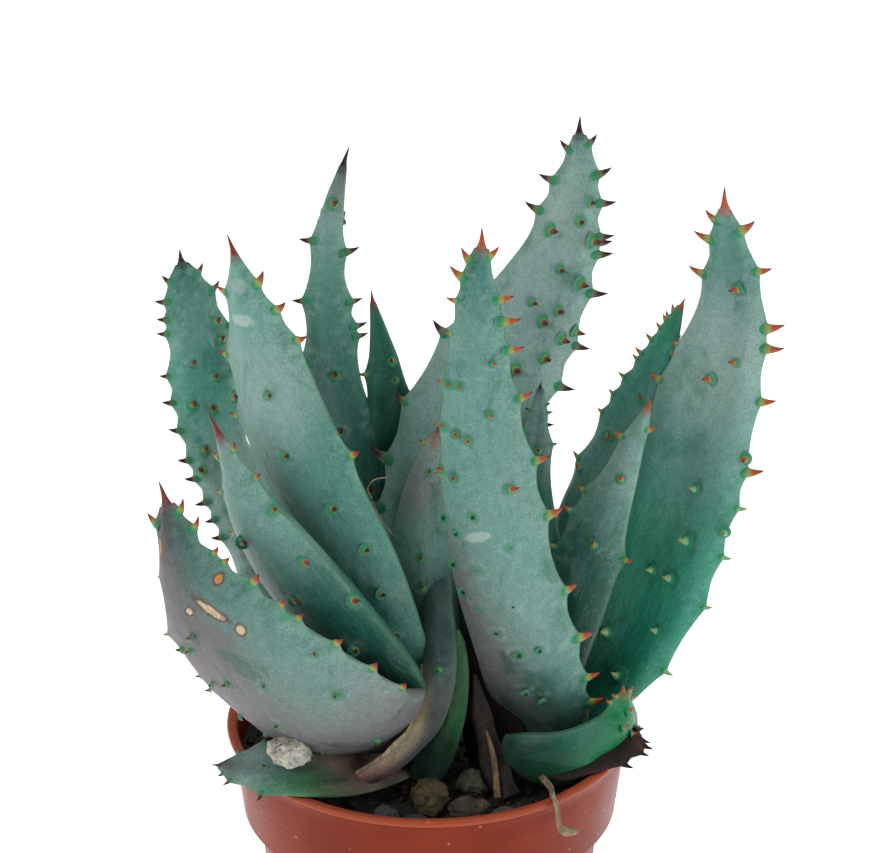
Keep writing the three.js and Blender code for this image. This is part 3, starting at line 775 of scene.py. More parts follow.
class Blade:
    # The smooth form of one leaf, before its edges and thorns

    def __init__(self, leaf):
        growing = [(*(np.array(s[:3]) + leaf["foot"]), s[3]) for s in leaf["stations"]]
        stations = np.array(growing + [rimPlace(s) for s in leaf.get("rimStations", [])])
        self.fatness = leaf.get("fatness", 1.0)
        self.share = np.linspace(0, 1, 601)
        line = splineAt(stations, self.share)
        self.middle = line[:, :3]
        self.half = np.maximum(line[:, 3], min(0.35, stations[-1, 3]))
        self.along = unit(np.gradient(self.middle, axis=0))
        start = np.array(leaf["facing"])
        end = np.array(leaf.get("tipFacing", leaf["facing"]))
        facing = start + (end - start) * self.share[:, None]
        nearFoot = np.clip(1 - self.share / 0.25, 0, 1)[:, None] ** 1.5
        facing = facing + (np.array(leaf.get("footFacing", leaf["facing"])) - facing) * nearFoot
        facing = facing - (facing * self.along).sum(1)[:, None] * self.along
        self.inward = unit(facing)
        self.across = np.cross(self.along, self.inward)
        steps = np.linalg.norm(np.diff(self.middle, axis=0), axis=1)
        self.travel = np.concatenate([[0], np.cumsum(steps)])
        self.length = self.travel[-1]

    def read(self, values, shares):
        if values.ndim == 1:
            return np.interp(shares, self.share, values)
        return np.stack([np.interp(shares, self.share, column) for column in values.T], -1)

    def at(self, values, share):
        return self.read(values, [share])[0]

    def height(self, aside, half, side):
        # how far the skin stands from the blade's middle plane
        room = np.clip(1 - aside * aside, 0, 1)
        depth = half * self.fatness
        edge = np.minimum(leafShape["edgeRound"], 0.3 * half) * np.sqrt(room)
        inner = depth * room * (leafShape["trough"] + leafShape["troughSides"] * aside * aside) + edge
        outer = -leafShape["belly"] * depth * room ** 0.8 - edge
        return np.where(side > 0, inner, outer)

    def skin(self, shares, aside, side):
        shares = np.atleast_1d(np.asarray(shares, float))
        half = self.read(self.half, shares)
        up = self.height(aside, half, side)
        outwards = self.read(self.across, shares) * (half * aside)[:, None]
        return self.read(self.middle, shares) + outwards + self.read(self.inward, shares) * up[:, None]

    def frameAt(self, share, aside, side):
        # a point of the skin, the skin's outward direction there, and the leaf's own direction
        near = 0.01
        spots = self.skin([share, share - near, share + near], np.full(3, aside), side)
        sideways = self.skin([share, share], np.array([aside - near, aside + near]), side)
        lean = unit(spots[2] - spots[1])
        out = unit(np.cross(sideways[1] - sideways[0], lean))
        if (out @ self.at(self.inward, share)) * side < 0:
            out = -out
        return spots[0], out, lean


def spread(blade, leaf, shares, aside):
    # the skin's colour, mixed from the leaf's tones by how near each is
    total = np.zeros((*shares.shape, 3))
    weights = np.zeros(shares.shape)
    for share, side, name in leaf["tones"]:
        along = (shares - share) / leafShape["toneAlong"]
        across = (aside - side) / leafShape["toneAcross"]
        pull = np.exp(-along ** 2 - across ** 2) + 1e-9
        total += pull[..., None] * tone(name)
        weights += pull
    return total / weights[..., None]


def sizedTooth(tooth):
    return tooth if isinstance(tooth, tuple) else (tooth, 1.0)


def cuspHeight(blade, share, size, scallop):
    # lower where the leaf is narrower than 5 mm either side
    return min(1.0, blade.at(blade.half, share) / 5) * min(1, size) * scallop


def edgeReach(blade, teeth, travel, scallop):
    # how far the edge stands out, in a cusp at each tooth
    reach = np.zeros_like(travel)
    for share, size in map(sizedTooth, teeth):
        gap = np.abs(travel - blade.at(blade.travel, share))
        cusp = cuspHeight(blade, share, size, scallop)
        reach = np.maximum(reach, cusp * np.exp(-gap / leafShape["scallopReach"]))
    return reach


thornShapes = {
    # rings of [radius and height as shares of the root, height of the horn, colour, horn share, halo]
    "spine": [
        (2.4, -0.3, 0.0, None, 0.0, 0.6), (1.75, 0.1, 0.0, None, 0.0, 0.9), (1.4, 0.4, 0.0, 0, 0.1, 0.9),
        (1.12, 0.6, 0.04, 1, 0.6, 0.3), (0.88, 0.6, 0.2, 2, 1.0, 0), (0.55, 0.6, 0.6, 3, 1.0, 0),
        (0.25, 0.6, 0.88, 4, 1.0, 0), (0.03, 0.6, 1.0, 4, 1.0, 0),
    ],
    "tooth": [
        (1.45, -2.0, 0.0, None, 0.0, 0.5), (1.3, -1.0, 0.0, 0, 0.0, 0.9), (1.15, 0.0, 0.0, 1, 0.5, 0.4),
        (0.95, 0.0, 0.14, 1, 0.8, 0), (0.74, 0.0, 0.36, 2, 1.0, 0), (0.45, 0.0, 0.66, 3, 1.0, 0),
        (0.2, 0.0, 0.87, 4, 1.0, 0), (0.03, 0.0, 1.0, 4, 1.0, 0),
    ],
    "point": [
        (1.05, -0.9, 0.0, None, 0.2, 0), (0.98, 0.1, 0.02, None, 0.6, 0), (0.72, 0.1, 0.16, 3, 1.0, 0),
        (0.5, 0.1, 0.36, 3, 1.0, 0), (0.32, 0.1, 0.62, 3, 1.0, 0), (0.15, 0.1, 0.86, 4, 1.0, 0),
        (0.03, 0.1, 1.0, 4, 1.0, 0),
    ],
}
spineShape = {
    "lengths": (0.9, 1.35),  # shares of the leaf's own spine length
    "root": 0.36,  # radius as a share of the length
    "bigSlimness": 1.7,
    "paleRoot": 1.15,
    "dotLength": 0.6,
    "knobShare": 0.85,  # how high on its knob it stands
}
toothShape = {
    "lengths": (0.85, 1.2),  # shares of the leaf's own tooth length
    "paleLength": 0.55,
    "root": (0.25, 0.15),  # radius as a share of the length, and mm more
    "cuspShare": 0.72,  # how far out on its cusp it stands
    "leans": (-0.1, 0.25),  # towards the leaf's tip
    "tipLean": 1.1,  # and up to this much more at the very tip
    "tipFrom": 0.8,  # share of the leaf's length where that starts
}
thornBend = {"spine": 0.25, "tooth": 0.26, "point": 0.08}  # hook of a point, as a share of its length
thornFlat = {"spine": 1.0, "tooth": 0.75, "point": 0.8}  # thickness as a share of the width
thornSides = 12


def addThorn(shell, shape, foot, out, lean, length, root, colours, skinHue, place):
    # a thorn that runs out of the skin and hooks towards the leaf's tip
    rings = thornShapes[shape]
    side = unit(np.cross(out, lean))
    forward = unit(np.cross(side, out))
    turn = np.linspace(0, 2 * math.pi, thornSides, endpoint=False)
    circle = np.cos(turn)[:, None] * forward + thornFlat[shape] * np.sin(turn)[:, None] * side
    points = []
    for radius, lift, rise, *_ in rings:
        centre = foot + out * (lift * root + rise * length)
        hook = forward * length * thornBend[shape] * rise ** 2
        points.append(centre + hook + radius * root * circle)
    hues = [skinHue if ring[3] is None else tone(colours[ring[3]]) for ring in rings]
    horns, glow = [ring[4] for ring in rings], [ring[5] for ring in rings]
    faces = gridFaces(len(rings), thornSides)
    faces.append(tuple(range((len(rings) - 1) * thornSides, len(rings) * thornSides)))
    shell.add(np.vstack(points), faces, hue=np.repeat(hues, thornSides, 0), place=place,
              horn=np.repeat(horns, thornSides), halo=np.repeat(glow, thornSides), edge=0.0)


def halos(blade, spots, travel, sideways):
    # the green rings round the spines of one side
    glow = np.zeros(travel.shape)
    for share, aside in spots:
        along = (travel - blade.at(blade.travel, share)) / leafShape["haloAlong"]
        across = (sideways - blade.at(blade.half, share) * aside) / leafShape["haloAcross"]
        strength = 0.5 + 0.5 * math.sin(91.0 * share + 37.0 * aside) ** 2  # differs from spine to spine
        glow = np.maximum(glow, strength * np.exp(-along ** 2 - across ** 2))
    return glow


def toneAt(blade, leaf, share, aside):
    return spread(blade, leaf, np.array([share]), np.array([float(aside)]))[0]


def skinShift(order, side):
    # keeps the patterns of different leaves and sides apart
    return 60.0 * order + 25 * side


def addSkin(shell, blade, leaf, order, picker):
    # the leaf's closed skin, with its edges and the knobs under its spines; returns its spines
    rings = max(12, math.ceil(blade.length / leafShape["ringPitch"]))
    around = 2 * int(np.clip(blade.half.max() * 2.4 / leafShape["skinPitch"], *leafShape["halfRing"]))
    shares = np.interp(np.linspace(0, blade.length, rings), blade.travel, blade.share)
    turn = circle(around)
    aside = np.cos(turn)
    side = np.where(np.sin(turn) >= 0, 1, -1)
    half = blade.read(blade.half, shares)[:, None]
    sideways = aside * half
    travel = np.broadcast_to(blade.read(blade.travel, shares)[:, None], sideways.shape)

    scallop = leaf.get("scallop", leafShape["scallop"])
    edges = [leaf.get(edge, ()) for edge in ("aTeeth", "bTeeth")]
    reach = np.where(aside > 0, *[edgeReach(blade, teeth, travel[:, :1], scallop) for teeth in edges])
    grow = reach * np.abs(aside) ** leafShape["scallopPower"]
    thin = 1 - leafShape["scallopThin"] * np.clip(grow / scallop, 0, 1)
    wave = [(picker.uniform(9, 22), picker.uniform(7, 16), picker.uniform(0, 6)) for _ in range(4)]
    ripple = sum(np.sin(travel / a + sideways / b + c) for a, b, c in wave)
    ripple = ripple * leafShape["ripple"] * leaf.get("crumple", 1.0)
    ripple = ripple * np.clip(half / 8, 0, 1) * (1 - aside ** 4)  # less where narrow, none at the edge
    up = blade.height(aside[None, :], half, side[None, :]) * thin + ripple * side

    count = int(blade.length / leafShape["hiddenPitch"])
    hidden = [(picker.uniform(0.2, 0.85), picker.uniform(-0.75, 0.75)) for _ in range(count)]
    spines = {leaf["shows"]: leaf.get("spines", []) + leaf.get("bigSpines", []), -leaf["shows"]: hidden}
    glow = np.where(side == 1, *[halos(blade, spines[which], travel, sideways) for which in (1, -1)])
    up = up + knobHeight(leaf) * glow * side * np.clip(half / 8, 0.3, 1)

    hue = spread(blade, leaf, np.broadcast_to(shares[:, None], sideways.shape),
                 np.broadcast_to(aside[None, :], sideways.shape))
    tip = np.clip((travel[:, :1] - (blade.length - leafShape["tipFade"])) / 2.2, 0, 1)[..., None] ** 1.5
    tip = tip * (leaf.get("tipLength", 1) > 0)
    hue = hue * (1 - tip) + tipHue(blade, leaf) * tip
    fromEdge = (1 - np.abs(aside)) * half
    toothGlow = leafShape["toothGlow"] * reach / scallop
    glow = np.maximum(glow, toothGlow * np.exp(-fromEdge / leafShape["toothGlowReach"]))

    middle, across, inward = [blade.read(line, shares)[:, None, :]
                              for line in (blade.middle, blade.across, blade.inward)]
    points = middle + across * (sideways + np.sign(aside) * grow)[..., None] + inward * up[..., None]
    place = np.stack([travel, sideways, np.broadcast_to(skinShift(order, side), sideways.shape)], -1)
    shell.add(points, closedGrid(rings, around), hue=hue.reshape(-1, 3), place=place.reshape(-1, 3),
              halo=glow.ravel(),
              edge=np.exp(-(fromEdge / leafShape["edgeLine"]) ** 2).ravel(),
              horn=np.broadcast_to(tip[:, 0] * 0.7, sideways.shape).ravel())
    return spines


def knobHeight(leaf):
    return leafShape["knob"] * min(1.0, leaf["spineLength"] / 1.8)


def tipHue(blade, leaf):
    return 0.45 * toneAt(blade, leaf, 1.0, 0) + 0.55 * tone(thornKinds[leaf["thorns"]][3])


def addSpines(shell, blade, leaf, order, picker, spines):
    own = thornKinds[leaf["thorns"]]
    onward, sideward = leaf.get("spineLean", (0.5, 0))
    for side, spots in spines.items():
        for share, aside in spots:
            big = (share, aside) in leaf.get("bigSpines", [])
            foot, out, lean = blade.frameAt(share, aside, side)
            length = leaf["spineLength"] * picker.uniform(*spineShape["lengths"])
            length *= leaf.get("bigness", 2.2) if big else 1
            root = spineShape["root"] * length / (spineShape["bigSlimness"] if big else 1)
            kind = own if big or leaf["thorns"] in ("dead", "orange") else thornKinds["bud"]
            if share < leaf.get("paleBelow", 0):
                kind = thornKinds["pale"]
                root *= spineShape["paleRoot"]
            if share < leaf.get("dotsBelow", 0) and not big:
                kind = thornKinds["dot"]
                length *= spineShape["dotLength"]
            tilt = unit(out + onward * lean + sideward * blade.at(blade.across, share))
            across = aside * blade.at(blade.half, share)
            spot = (blade.at(blade.travel, share), across, skinShift(order, side))
            foot = foot + out * knobHeight(leaf) * spineShape["knobShare"]
            addThorn(shell, "spine", foot, tilt, lean, length, root, kind,
                     toneAt(blade, leaf, share, aside), spot)


def addTeeth(shell, blade, leaf, order, picker):
    scallop = leaf.get("scallop", leafShape["scallop"])
    for sign, edge in ((1, "aTeeth"), (-1, "bTeeth")):
        for share, size in map(sizedTooth, leaf.get(edge, ())):
            wide = blade.at(blade.half, share)
            lean = blade.at(blade.along, share)
            out = blade.at(blade.across, share) * sign
            stand = cuspHeight(blade, share, size, scallop) * toothShape["cuspShare"]
            foot = blade.at(blade.middle, share) + out * (wide + stand)
            pale = share < leaf.get("paleBelow", 0) * 0.9
            length = leaf["toothLength"] * size * picker.uniform(*toothShape["lengths"])
            length *= min(1.0, 0.75 + wide / 16) * (toothShape["paleLength"] if pale else 1.0)
            kind = thornKinds["pale" if pale else leaf["thorns"]]
            nearTip = max(0, share - toothShape["tipFrom"]) / (1 - toothShape["tipFrom"])
            onward = picker.uniform(*toothShape["leans"]) + toothShape["tipLean"] * nearTip
            spot = (blade.at(blade.travel, share), sign * wide, skinShift(order, 0))
            root = toothShape["root"][0] * length + toothShape["root"][1]
            addThorn(shell, "tooth", foot, unit(out + lean * onward), lean, length, root, kind,
                     toneAt(blade, leaf, share, sign), spot)


def addTipThorn(shell, blade, leaf, order):
    length = leaf.get("tipLength", leaf["toothLength"] * 1.4)
    if not length:
        return
    colours = thornKinds[leaf["thorns"]]
    spot = (blade.length, 0, skinShift(order, 0))
    addThorn(shell, "point", blade.middle[-1], blade.along[-1], blade.across[-1], length,
             blade.half[-1], colours, tipHue(blade, leaf), spot)


def makeLeaf(name, leaf, order):
    blade = Blade(leaf)
    picker = random.Random(100 + order)
    shell = Shell("hue", "place", "halo", "edge", "horn")
    spines = addSkin(shell, blade, leaf, order, picker)
    addSpines(shell, blade, leaf, order, picker, spines)
    addTeeth(shell, blade, leaf, order, picker)
    addTipThorn(shell, blade, leaf, order)
    piece = shell.piece(pieceName(name), leafSkin(name, leaf, blade))
    return keep(piece, name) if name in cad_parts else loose(piece)


skins = {
    # look of each kind of skin: mottling, wax bloom, dark scuffs, pale specks, pale rings, roughness
    "leaf_blue_green": {
        "mottle": 0.62, "bloom": 0.36, "scuff": 0.35, "specks": 0.1, "ring": 0.16, "rough": 0.46,
    },
    "leaf_purple_grey": {
        "mottle": 0.6, "bloom": 0.28, "scuff": 0.45, "specks": 0.12, "ring": 0.1, "rough": 0.5,
        "bloomTone": "plumPale",
    },
    "leaf_deep_green": {
        "mottle": 0.5, "bloom": 0.1, "scuff": 0.4, "specks": 0.08, "ring": 0.06, "rough": 0.42,
    },
    "dried_leaf": {
        "mottle": 0.8, "bloom": 0.0, "scuff": 0.8, "specks": 0.1, "ring": 0.0, "rough": 0.8,
        "shade": ("bark", 5.0), "glow": "umberDark", "edge": "bark", "dirt": "umberDark",
    },
}


def vectorMaths(tree, operation, first, second=(0, 0, 0), output="Vector"):
    return addNode(tree, "ShaderNodeVectorMath", {0: first, 1: second}, operation=operation).outputs[output]


def leafMark(tree, colour, place, blade, mark):
    # a scar or scratch on the skin: a spot with a darker border
    share, aside, length, width, turnBy, inside, border, strength = mark
    centre = (blade.at(blade.travel, share), aside * blade.at(blade.half, share), 0)
    flat = vectorMaths(tree, "MULTIPLY", place, (1, 1, 0))
    moved = vectorMaths(tree, "SUBTRACT", flat, centre)
    turned = addNode(tree, "ShaderNodeVectorRotate", {"Vector": moved, "Angle": math.radians(turnBy)},
                     rotation_type="Z_AXIS").outputs[0]
    sized = vectorMaths(tree, "MULTIPLY", turned, (1 / length, 1 / width, 0))
    reach = vectorMaths(tree, "LENGTH", sized, output="Value")
    wobble = maths(tree, "MULTIPLY", maths(tree, "SUBTRACT", noiseAt(tree, place, 0.7, 4), 0.5), 0.9)
    reach = maths(tree, "ADD", reach, wobble)
    around = ramp(tree, reach, 1.0, 1.45, 0.85 * strength, 0.0)
    colour = blendColour(tree, around, colour, rgba(border))
    grain = ramp(tree, noiseAt(tree, place, 1.6, 3), 0.35, 0.7, 0.6 * strength, strength)
    middle = maths(tree, "MULTIPLY", ramp(tree, reach, 0.62, 1.0, 1.0, 0.0), grain)
    return blendColour(tree, middle, colour, rgba(inside))


def leafSkin(name, leaf, blade):
    look = skins[leaf.get("skin", leaf["slot"])]
    material, tree, shader = newMaterial("skin_" + name)
    place = attribute(tree, "place", "Vector")
    colour = attribute(tree, "hue", "Color")
    horn = attribute(tree, "horn")
    halo = attribute(tree, "halo")
    edge = attribute(tree, "edge")
    flesh = maths(tree, "SUBTRACT", 1.0, horn)
    bloom = rgba(look.get("bloomTone", "powder"))

    def over(below, share, above):
        # one colour over another, on the flesh and not on the horn of the thorns
        return blendColour(tree, maths(tree, "MULTIPLY", share, flesh), below, above)

    # large soft areas of bloom and of deeper green
    drift = noiseAt(tree, scaled(tree, place, (0.06, 0.11, 1)), 1.0, 5, 0.6, 0.6)
    colour = over(colour, ramp(tree, drift, 0.52, 0.72, 0.0, look["bloom"]), bloom)
    deeper = blendColour(tree, 1.0, colour, rgba(*look.get("shade", ("seaDeep", 2.1))), "MULTIPLY")
    colour = over(colour, ramp(tree, drift, 0.5, 0.3, 0.0, look["mottle"]), deeper)

    # streaks along the leaf, blotches and fine grain
    streak = noiseAt(tree, scaled(tree, place, (0.25, 1.6, 1)), 1.0, 4, 0.65)
    colour = over(colour, ramp(tree, streak, 0.45, 0.75, 0, look["bloom"] * 0.5), bloom)
    grain = noiseAt(tree, place, 2.2, 3, 0.7)
    blotch = noiseAt(tree, place, 0.55, 4, 0.65)
    fine = ramp(tree, grain, 0.25, 0.75, 0.76, 1.2)
    shade = maths(tree, "MULTIPLY", fine, ramp(tree, blotch, 0.3, 0.7, 0.9, 1.09))
    shadeColour = addNode(tree, "ShaderNodeCombineColor", {0: shade, 1: shade, 2: shade}).outputs[0]
    colour = blendColour(tree, flesh, colour, blendColour(tree, 1.0, colour, shadeColour, "MULTIPLY"))

    # a pale ring and a green one round each spine and tooth
    waxRing = maths(tree, "MULTIPLY", ramp(tree, halo, 0.04, 0.2), ramp(tree, halo, 0.45, 0.22))
    patchy = ramp(tree, blotch, 0.4, 0.65, 0, look["ring"] * 2)
    colour = over(colour, maths(tree, "MULTIPLY", waxRing, patchy), rgba("mist"))
    uneven = maths(tree, "ADD", halo, maths(tree, "MULTIPLY", blotch, 0.6))
    colour = over(colour, ramp(tree, uneven, 0.55, 1.15, 0, 0.75), rgba(look.get("glow", "halo")))

    # dark scuffs, rubbed wax, specks and the paler edge
    patches = noiseAt(tree, scaled(tree, place, (0.12, 0.3, 1)), 1.0, 6, 0.7, 1.2)
    dirt = rgba(look.get("dirt", "bottle"))
    colour = over(colour, ramp(tree, patches, 0.66, 0.7, 0, look["scuff"]), dirt)
    rubbed = noiseAt(tree, scaled(tree, place, (0.2, 0.35, 1.7)), 1.0, 6, 0.72, 0.8)
    colour = over(colour, ramp(tree, rubbed, 0.68, 0.78, 0, look["bloom"]), rgba("white"))
    spots = addNode(tree, "ShaderNodeTexVoronoi", {"Vector": place, "Scale": 0.55}).outputs["Distance"]
    colour = over(colour, ramp(tree, spots, 0.12, 0.06, 0, look["specks"]), rgba("white"))
    colour = over(colour, maths(tree, "MULTIPLY", edge, 0.22), rgba(look.get("edge", "paleGreen")))
    for mark in leaf.get("marks", ()):
        colour = leafMark(tree, colour, place, blade, mark)
    tree.links.new(colour, shader.inputs["Base Color"])

    gloss = ramp(tree, drift, 0.3, 0.7, look["rough"] - 0.06, look["rough"] + 0.12)
    gloss = maths(tree, "SUBTRACT", gloss, maths(tree, "MULTIPLY", horn, 0.14))
    tree.links.new(gloss, shader.inputs["Roughness"])
    shader.inputs["Specular IOR Level"].default_value = 0.3
    shader.inputs["Sheen Weight"].default_value = 0.04
    shader.inputs["Sheen Roughness"].default_value = 0.5
    dents = bump(tree, noiseAt(tree, scaled(tree, place, (0.2, 0.3, 1)), 1.0, 4, 0.55), 0.0011, 0.6)
    tree.links.new(bump(tree, grain, 0.00012, 0.6, dents), shader.inputs["Normal"])
    return material


for order, (name, leaf) in enumerate(leaves.items()):
    makeLeaf(name, leaf, order)
print("leaves made:", len(leaves))

# ---- pot ----

potShape = {
    "wall": 1.4,
    "floor": 1.6,
    "collar": 24.5,
    "collarTaper": 2.6,
    "step": 4.0,
    "baseRadius": 37.0,
    "baseRound": 1.4,
    "neck": 14.0,  # height of the straight part under the collar
    "stepRound": 0.7,
    "bead": 1.8,
    "beadOverhang": 1.3,
    "drainHoles": 8,
    "drainRadius": 3.5,
    "drainInset": 9.0,
    "segments": 224,
}


def arc(centre, radius, start, end, steps=5):
    angles = [math.radians(start + (end - start) * i / steps) for i in range(steps + 1)]
    return [(centre[0] + radius * math.cos(a), centre[1] + radius * math.sin(a)) for a in angles]


def between(start, end, steps):
    return [(start[0] + (end[0] - start[0]) * i / steps, start[1] + (end[1] - start[1]) * i / steps)
            for i in range(1, steps)]


def potProfile(shape):
    # [radius, height] up the outside, over the bead and down the inside
    top = rimHeight
    wall = shape["wall"]
    base, rounding, stepRound = shape["baseRadius"], shape["baseRound"], shape["stepRound"]
    outer = rimRadius - shape["beadOverhang"]
    collarLow = top - shape["collar"]
    collarFoot = outer - shape["collarTaper"]
    bodyTop = collarFoot - shape["step"]
    neckFoot = (bodyTop - 1.2, collarLow - shape["neck"])
    beadHalf = shape["bead"] / 2
    outside = [(1.5, 0.0), (12, 0.0), (24, 0.0), (base - 1.6, 0.0)]
    outside += arc((base - rounding, rounding), rounding, -60, -5)
    outside += between((base, 2.5), neckFoot, 14)
    outside += [neckFoot, (bodyTop - 0.5, collarLow - shape["neck"] / 2)]
    outside += [(bodyTop, collarLow - 1.2), (bodyTop + 0.35, collarLow - 0.35)]
    outside += [(collarFoot - 0.9, collarLow)]
    outside += arc((collarFoot - 0.6, collarLow + stepRound), stepRound, -80, 0)
    outside += between((collarFoot + 0.1, collarLow + 1), (outer, top - 2.6), 10)
    outside += [(outer - 0.05, top - 2.3)]
    bead = arc((rimRadius - beadHalf, top - beadHalf), beadHalf, -75, 90, 9)
    inside = [(outer - wall + 0.5, top - 0.1), (outer - wall, top - 0.6)]
    inside += between((outer - wall, top - 1.2), (collarFoot - wall, collarLow + 1.6), 6)
    inside += [(collarFoot - wall, collarLow + wall), (bodyTop - wall, collarLow + wall)]
    inside += between((bodyTop - wall, collarLow), (base - wall, 3), 6)
    inside += [(base - wall, shape["floor"]), (20, shape["floor"]), (1.5, shape["floor"])]
    return outside + bead + inside


def turnedShell(profile, segments):
    shell = Shell()
    rings = [ring(circle(segments), reach, height) for reach, height in profile]
    shell.add(np.vstack(rings), closedGrid(len(profile), segments))
    return shell


def terracottaPlastic():
    material, tree, shader = newMaterial("terracottaPlastic")
    place = addNode(tree, "ShaderNodeTexCoord").outputs["Object"]
    cloud = noiseAt(tree, place, 38, 5, 0.55)
    colour = blendColour(tree, ramp(tree, cloud, 0.3, 0.7), rgba("potDeep"), rgba("potBright"))
    bleached = ramp(tree, noiseAt(tree, place, 14, 3), 0.55, 0.75, 0, 0.3)
    colour = blendColour(tree, bleached, colour, rgba("potFaded"))
    stains = noiseAt(tree, scaled(tree, place, (1, 1, 2.4)), 120, 6, 0.7, 0.6)
    colour = blendColour(tree, ramp(tree, stains, 0.66, 0.74, 0, 0.5), colour, rgba("potGrime"))
    dust = addNode(tree, "ShaderNodeTexVoronoi", {"Vector": place, "Scale": 210}).outputs["Distance"]
    colour = blendColour(tree, ramp(tree, dust, 0.11, 0.05, 0, 0.55), colour, rgba("potDust"))
    high = addNode(tree, "ShaderNodeSeparateXYZ", {0: place}).outputs["Z"]
    # painted highlight: a paler band round the top of the rim, over the bead
    rimHighlight = ramp(tree, high, (rimHeight - 2.4) * mm, (rimHeight - 1.2) * mm, 0, 0.5)
    colour = blendColour(tree, rimHighlight, colour, rgba("potRimHighlight"))
    tree.links.new(colour, shader.inputs["Base Color"])
    gloss = ramp(tree, noiseAt(tree, place, 60, 5, 0.6), 0.3, 0.7, 0.3, 0.42)
    tree.links.new(gloss, shader.inputs["Roughness"])
    shader.inputs["Specular IOR Level"].default_value = 0.14
    waves = {"Vector": place, "Scale": 130, "Distortion": 0.6, "Detail": 2.0}
    rings = addNode(tree, "ShaderNodeTexWave", waves, wave_type="BANDS", bands_direction="Z").outputs["Fac"]
    under = bump(tree, rings, 0.00006, 0.35)
    fine = bump(tree, noiseAt(tree, place, 900, 4, 0.6), 0.00008, 0.5, under)
    tree.links.new(fine, shader.inputs["Normal"])
    return material


def cutDrainHoles(pot, shape):
    cutter = Shell()
    sides = 24
    reach = shape["baseRadius"] - shape["drainInset"]
    for i in range(shape["drainHoles"]):
        angle = (i + 0.5) / shape["drainHoles"] * 2 * math.pi
        centre = (reach * math.cos(angle), reach * math.sin(angle))
        rows = [ring(circle(sides), shape["drainRadius"], z, centre) for z in (-1.0, shape["floor"] + 1)]
        cutter.add(np.vstack(rows), closedGrid(2, sides))
    tool = cutter.piece("drainCutter", pot.data.materials[0])
    cut = pot.modifiers.new("drain", "BOOLEAN")
    cut.object = tool
    cut.operation = "DIFFERENCE"
    bpy.context.view_layer.objects.active = pot
    bpy.ops.object.modifier_apply(modifier=cut.name)
    bpy.data.objects.remove(tool)


potPiece = turnedShell(potProfile(potShape), potShape["segments"]).piece("potShell", terracottaPlastic())
cutDrainHoles(potPiece, potShape)
keep(potPiece, "pot")
print("pot made")

# ---- soil ----

soilLook = {
    "lumps": 1.1,  # mm
    "crumbs": 620,
    "crumbSize": (0.5, 2.0),
    "seed": 7,
    "dark": (0.006, 0.0055, 0.005, 1),  # linear rgb
    "brown": (0.03, 0.024, 0.018, 1),
    "bark": (0.055, 0.038, 0.024, 1),
    "grit": (0.3, 0.3, 0.27, 1),
}


def soilHeight(x, y):
    coarse = noise.noise(Vector((x / 7, y / 7, 3.1)))
    fine = noise.noise(Vector((x / 2.3, y / 2.3, 8.4)))
    tiny = noise.noise(Vector((x / 0.9, y / 0.9, 1.7)))
    return soilLook["lumps"] * (0.8 * coarse + 0.6 * fine + 0.3 * tiny)


def soilMaterial(look):
    material, tree, shader = newMaterial("pottingSoil")
    place = addNode(tree, "ShaderNodeTexCoord").outputs["Object"]
    fibre = noiseAt(tree, place, 520, 6, 0.7, 1.0)
    colour = blendColour(tree, ramp(tree, fibre, 0.35, 0.65), look["dark"], look["brown"])
    bark = ramp(tree, noiseAt(tree, place, 160, 4, 0.6), 0.6, 0.68, 0, 0.6)
    colour = blendColour(tree, bark, colour, look["bark"])
    spots = addNode(tree, "ShaderNodeTexVoronoi", {"Vector": place, "Scale": 420}).outputs["Distance"]
    colour = blendColour(tree, ramp(tree, spots, 0.13, 0.07, 0, 0.5), colour, look["grit"])
    tree.links.new(colour, shader.inputs["Base Color"])
    shader.inputs["Roughness"].default_value = 0.9
    tree.links.new(bump(tree, fibre, 0.0006, 0.9), shader.inputs["Normal"])
    return material


def makeSoil():
    low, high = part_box("soil")
    radius = (high.x - low.x) / 2 / mm
    shell = Shell()
    sides = 200
    turn = circle(sides)
    rows = []
    for reach in np.linspace(0.4, radius, 66):
        lift = np.array([soilHeight(reach * math.cos(a), reach * math.sin(a)) for a in turn])
        settled = min(1, (radius - reach) / 3 + 0.15)  # flatter at the pot's wall
        rows.append(ring(turn, reach, soilTop + lift * settled - 0.4))
    wall = potShape["wall"]
    bodyTop = rimRadius - potShape["beadOverhang"] - potShape["collarTaper"] - potShape["step"]
    ledge = rimHeight - potShape["collar"] + wall + 0.3
    foot = potShape["baseRadius"] - wall - 0.4
    under = [(radius - 1.2, ledge), (bodyTop - wall - 0.4, ledge), (foot, 2.0), (1, 2.0)]
    rows += [ring(turn, reach, height) for reach, height in under]
    shell.add(np.vstack(rows), [face[::-1] for face in closedGrid(len(rows), sides)])
    return shell


def ballPoints(divisions):
    work = bmesh.new()
    bmesh.ops.create_icosphere(work, subdivisions=divisions, radius=1)
    points = np.array([v.co for v in work.verts])
    faces = [[v.index for v in f.verts] for f in work.faces]
    work.free()
    return points, faces


def lumpy(points, seed, depth, pitch):
    moved = []
    for point in points:
        spot = Vector(point) * pitch + Vector((seed * 7.3, seed * 3.1, seed))
        moved.append(point * (1 + depth * noise.noise(spot) + depth * 0.5 * noise.noise(spot * 2.3)))
    return np.array(moved)


soilSurface = soilMaterial(soilLook)
keep(makeSoil().piece("soilBed", soilSurface), "soil")


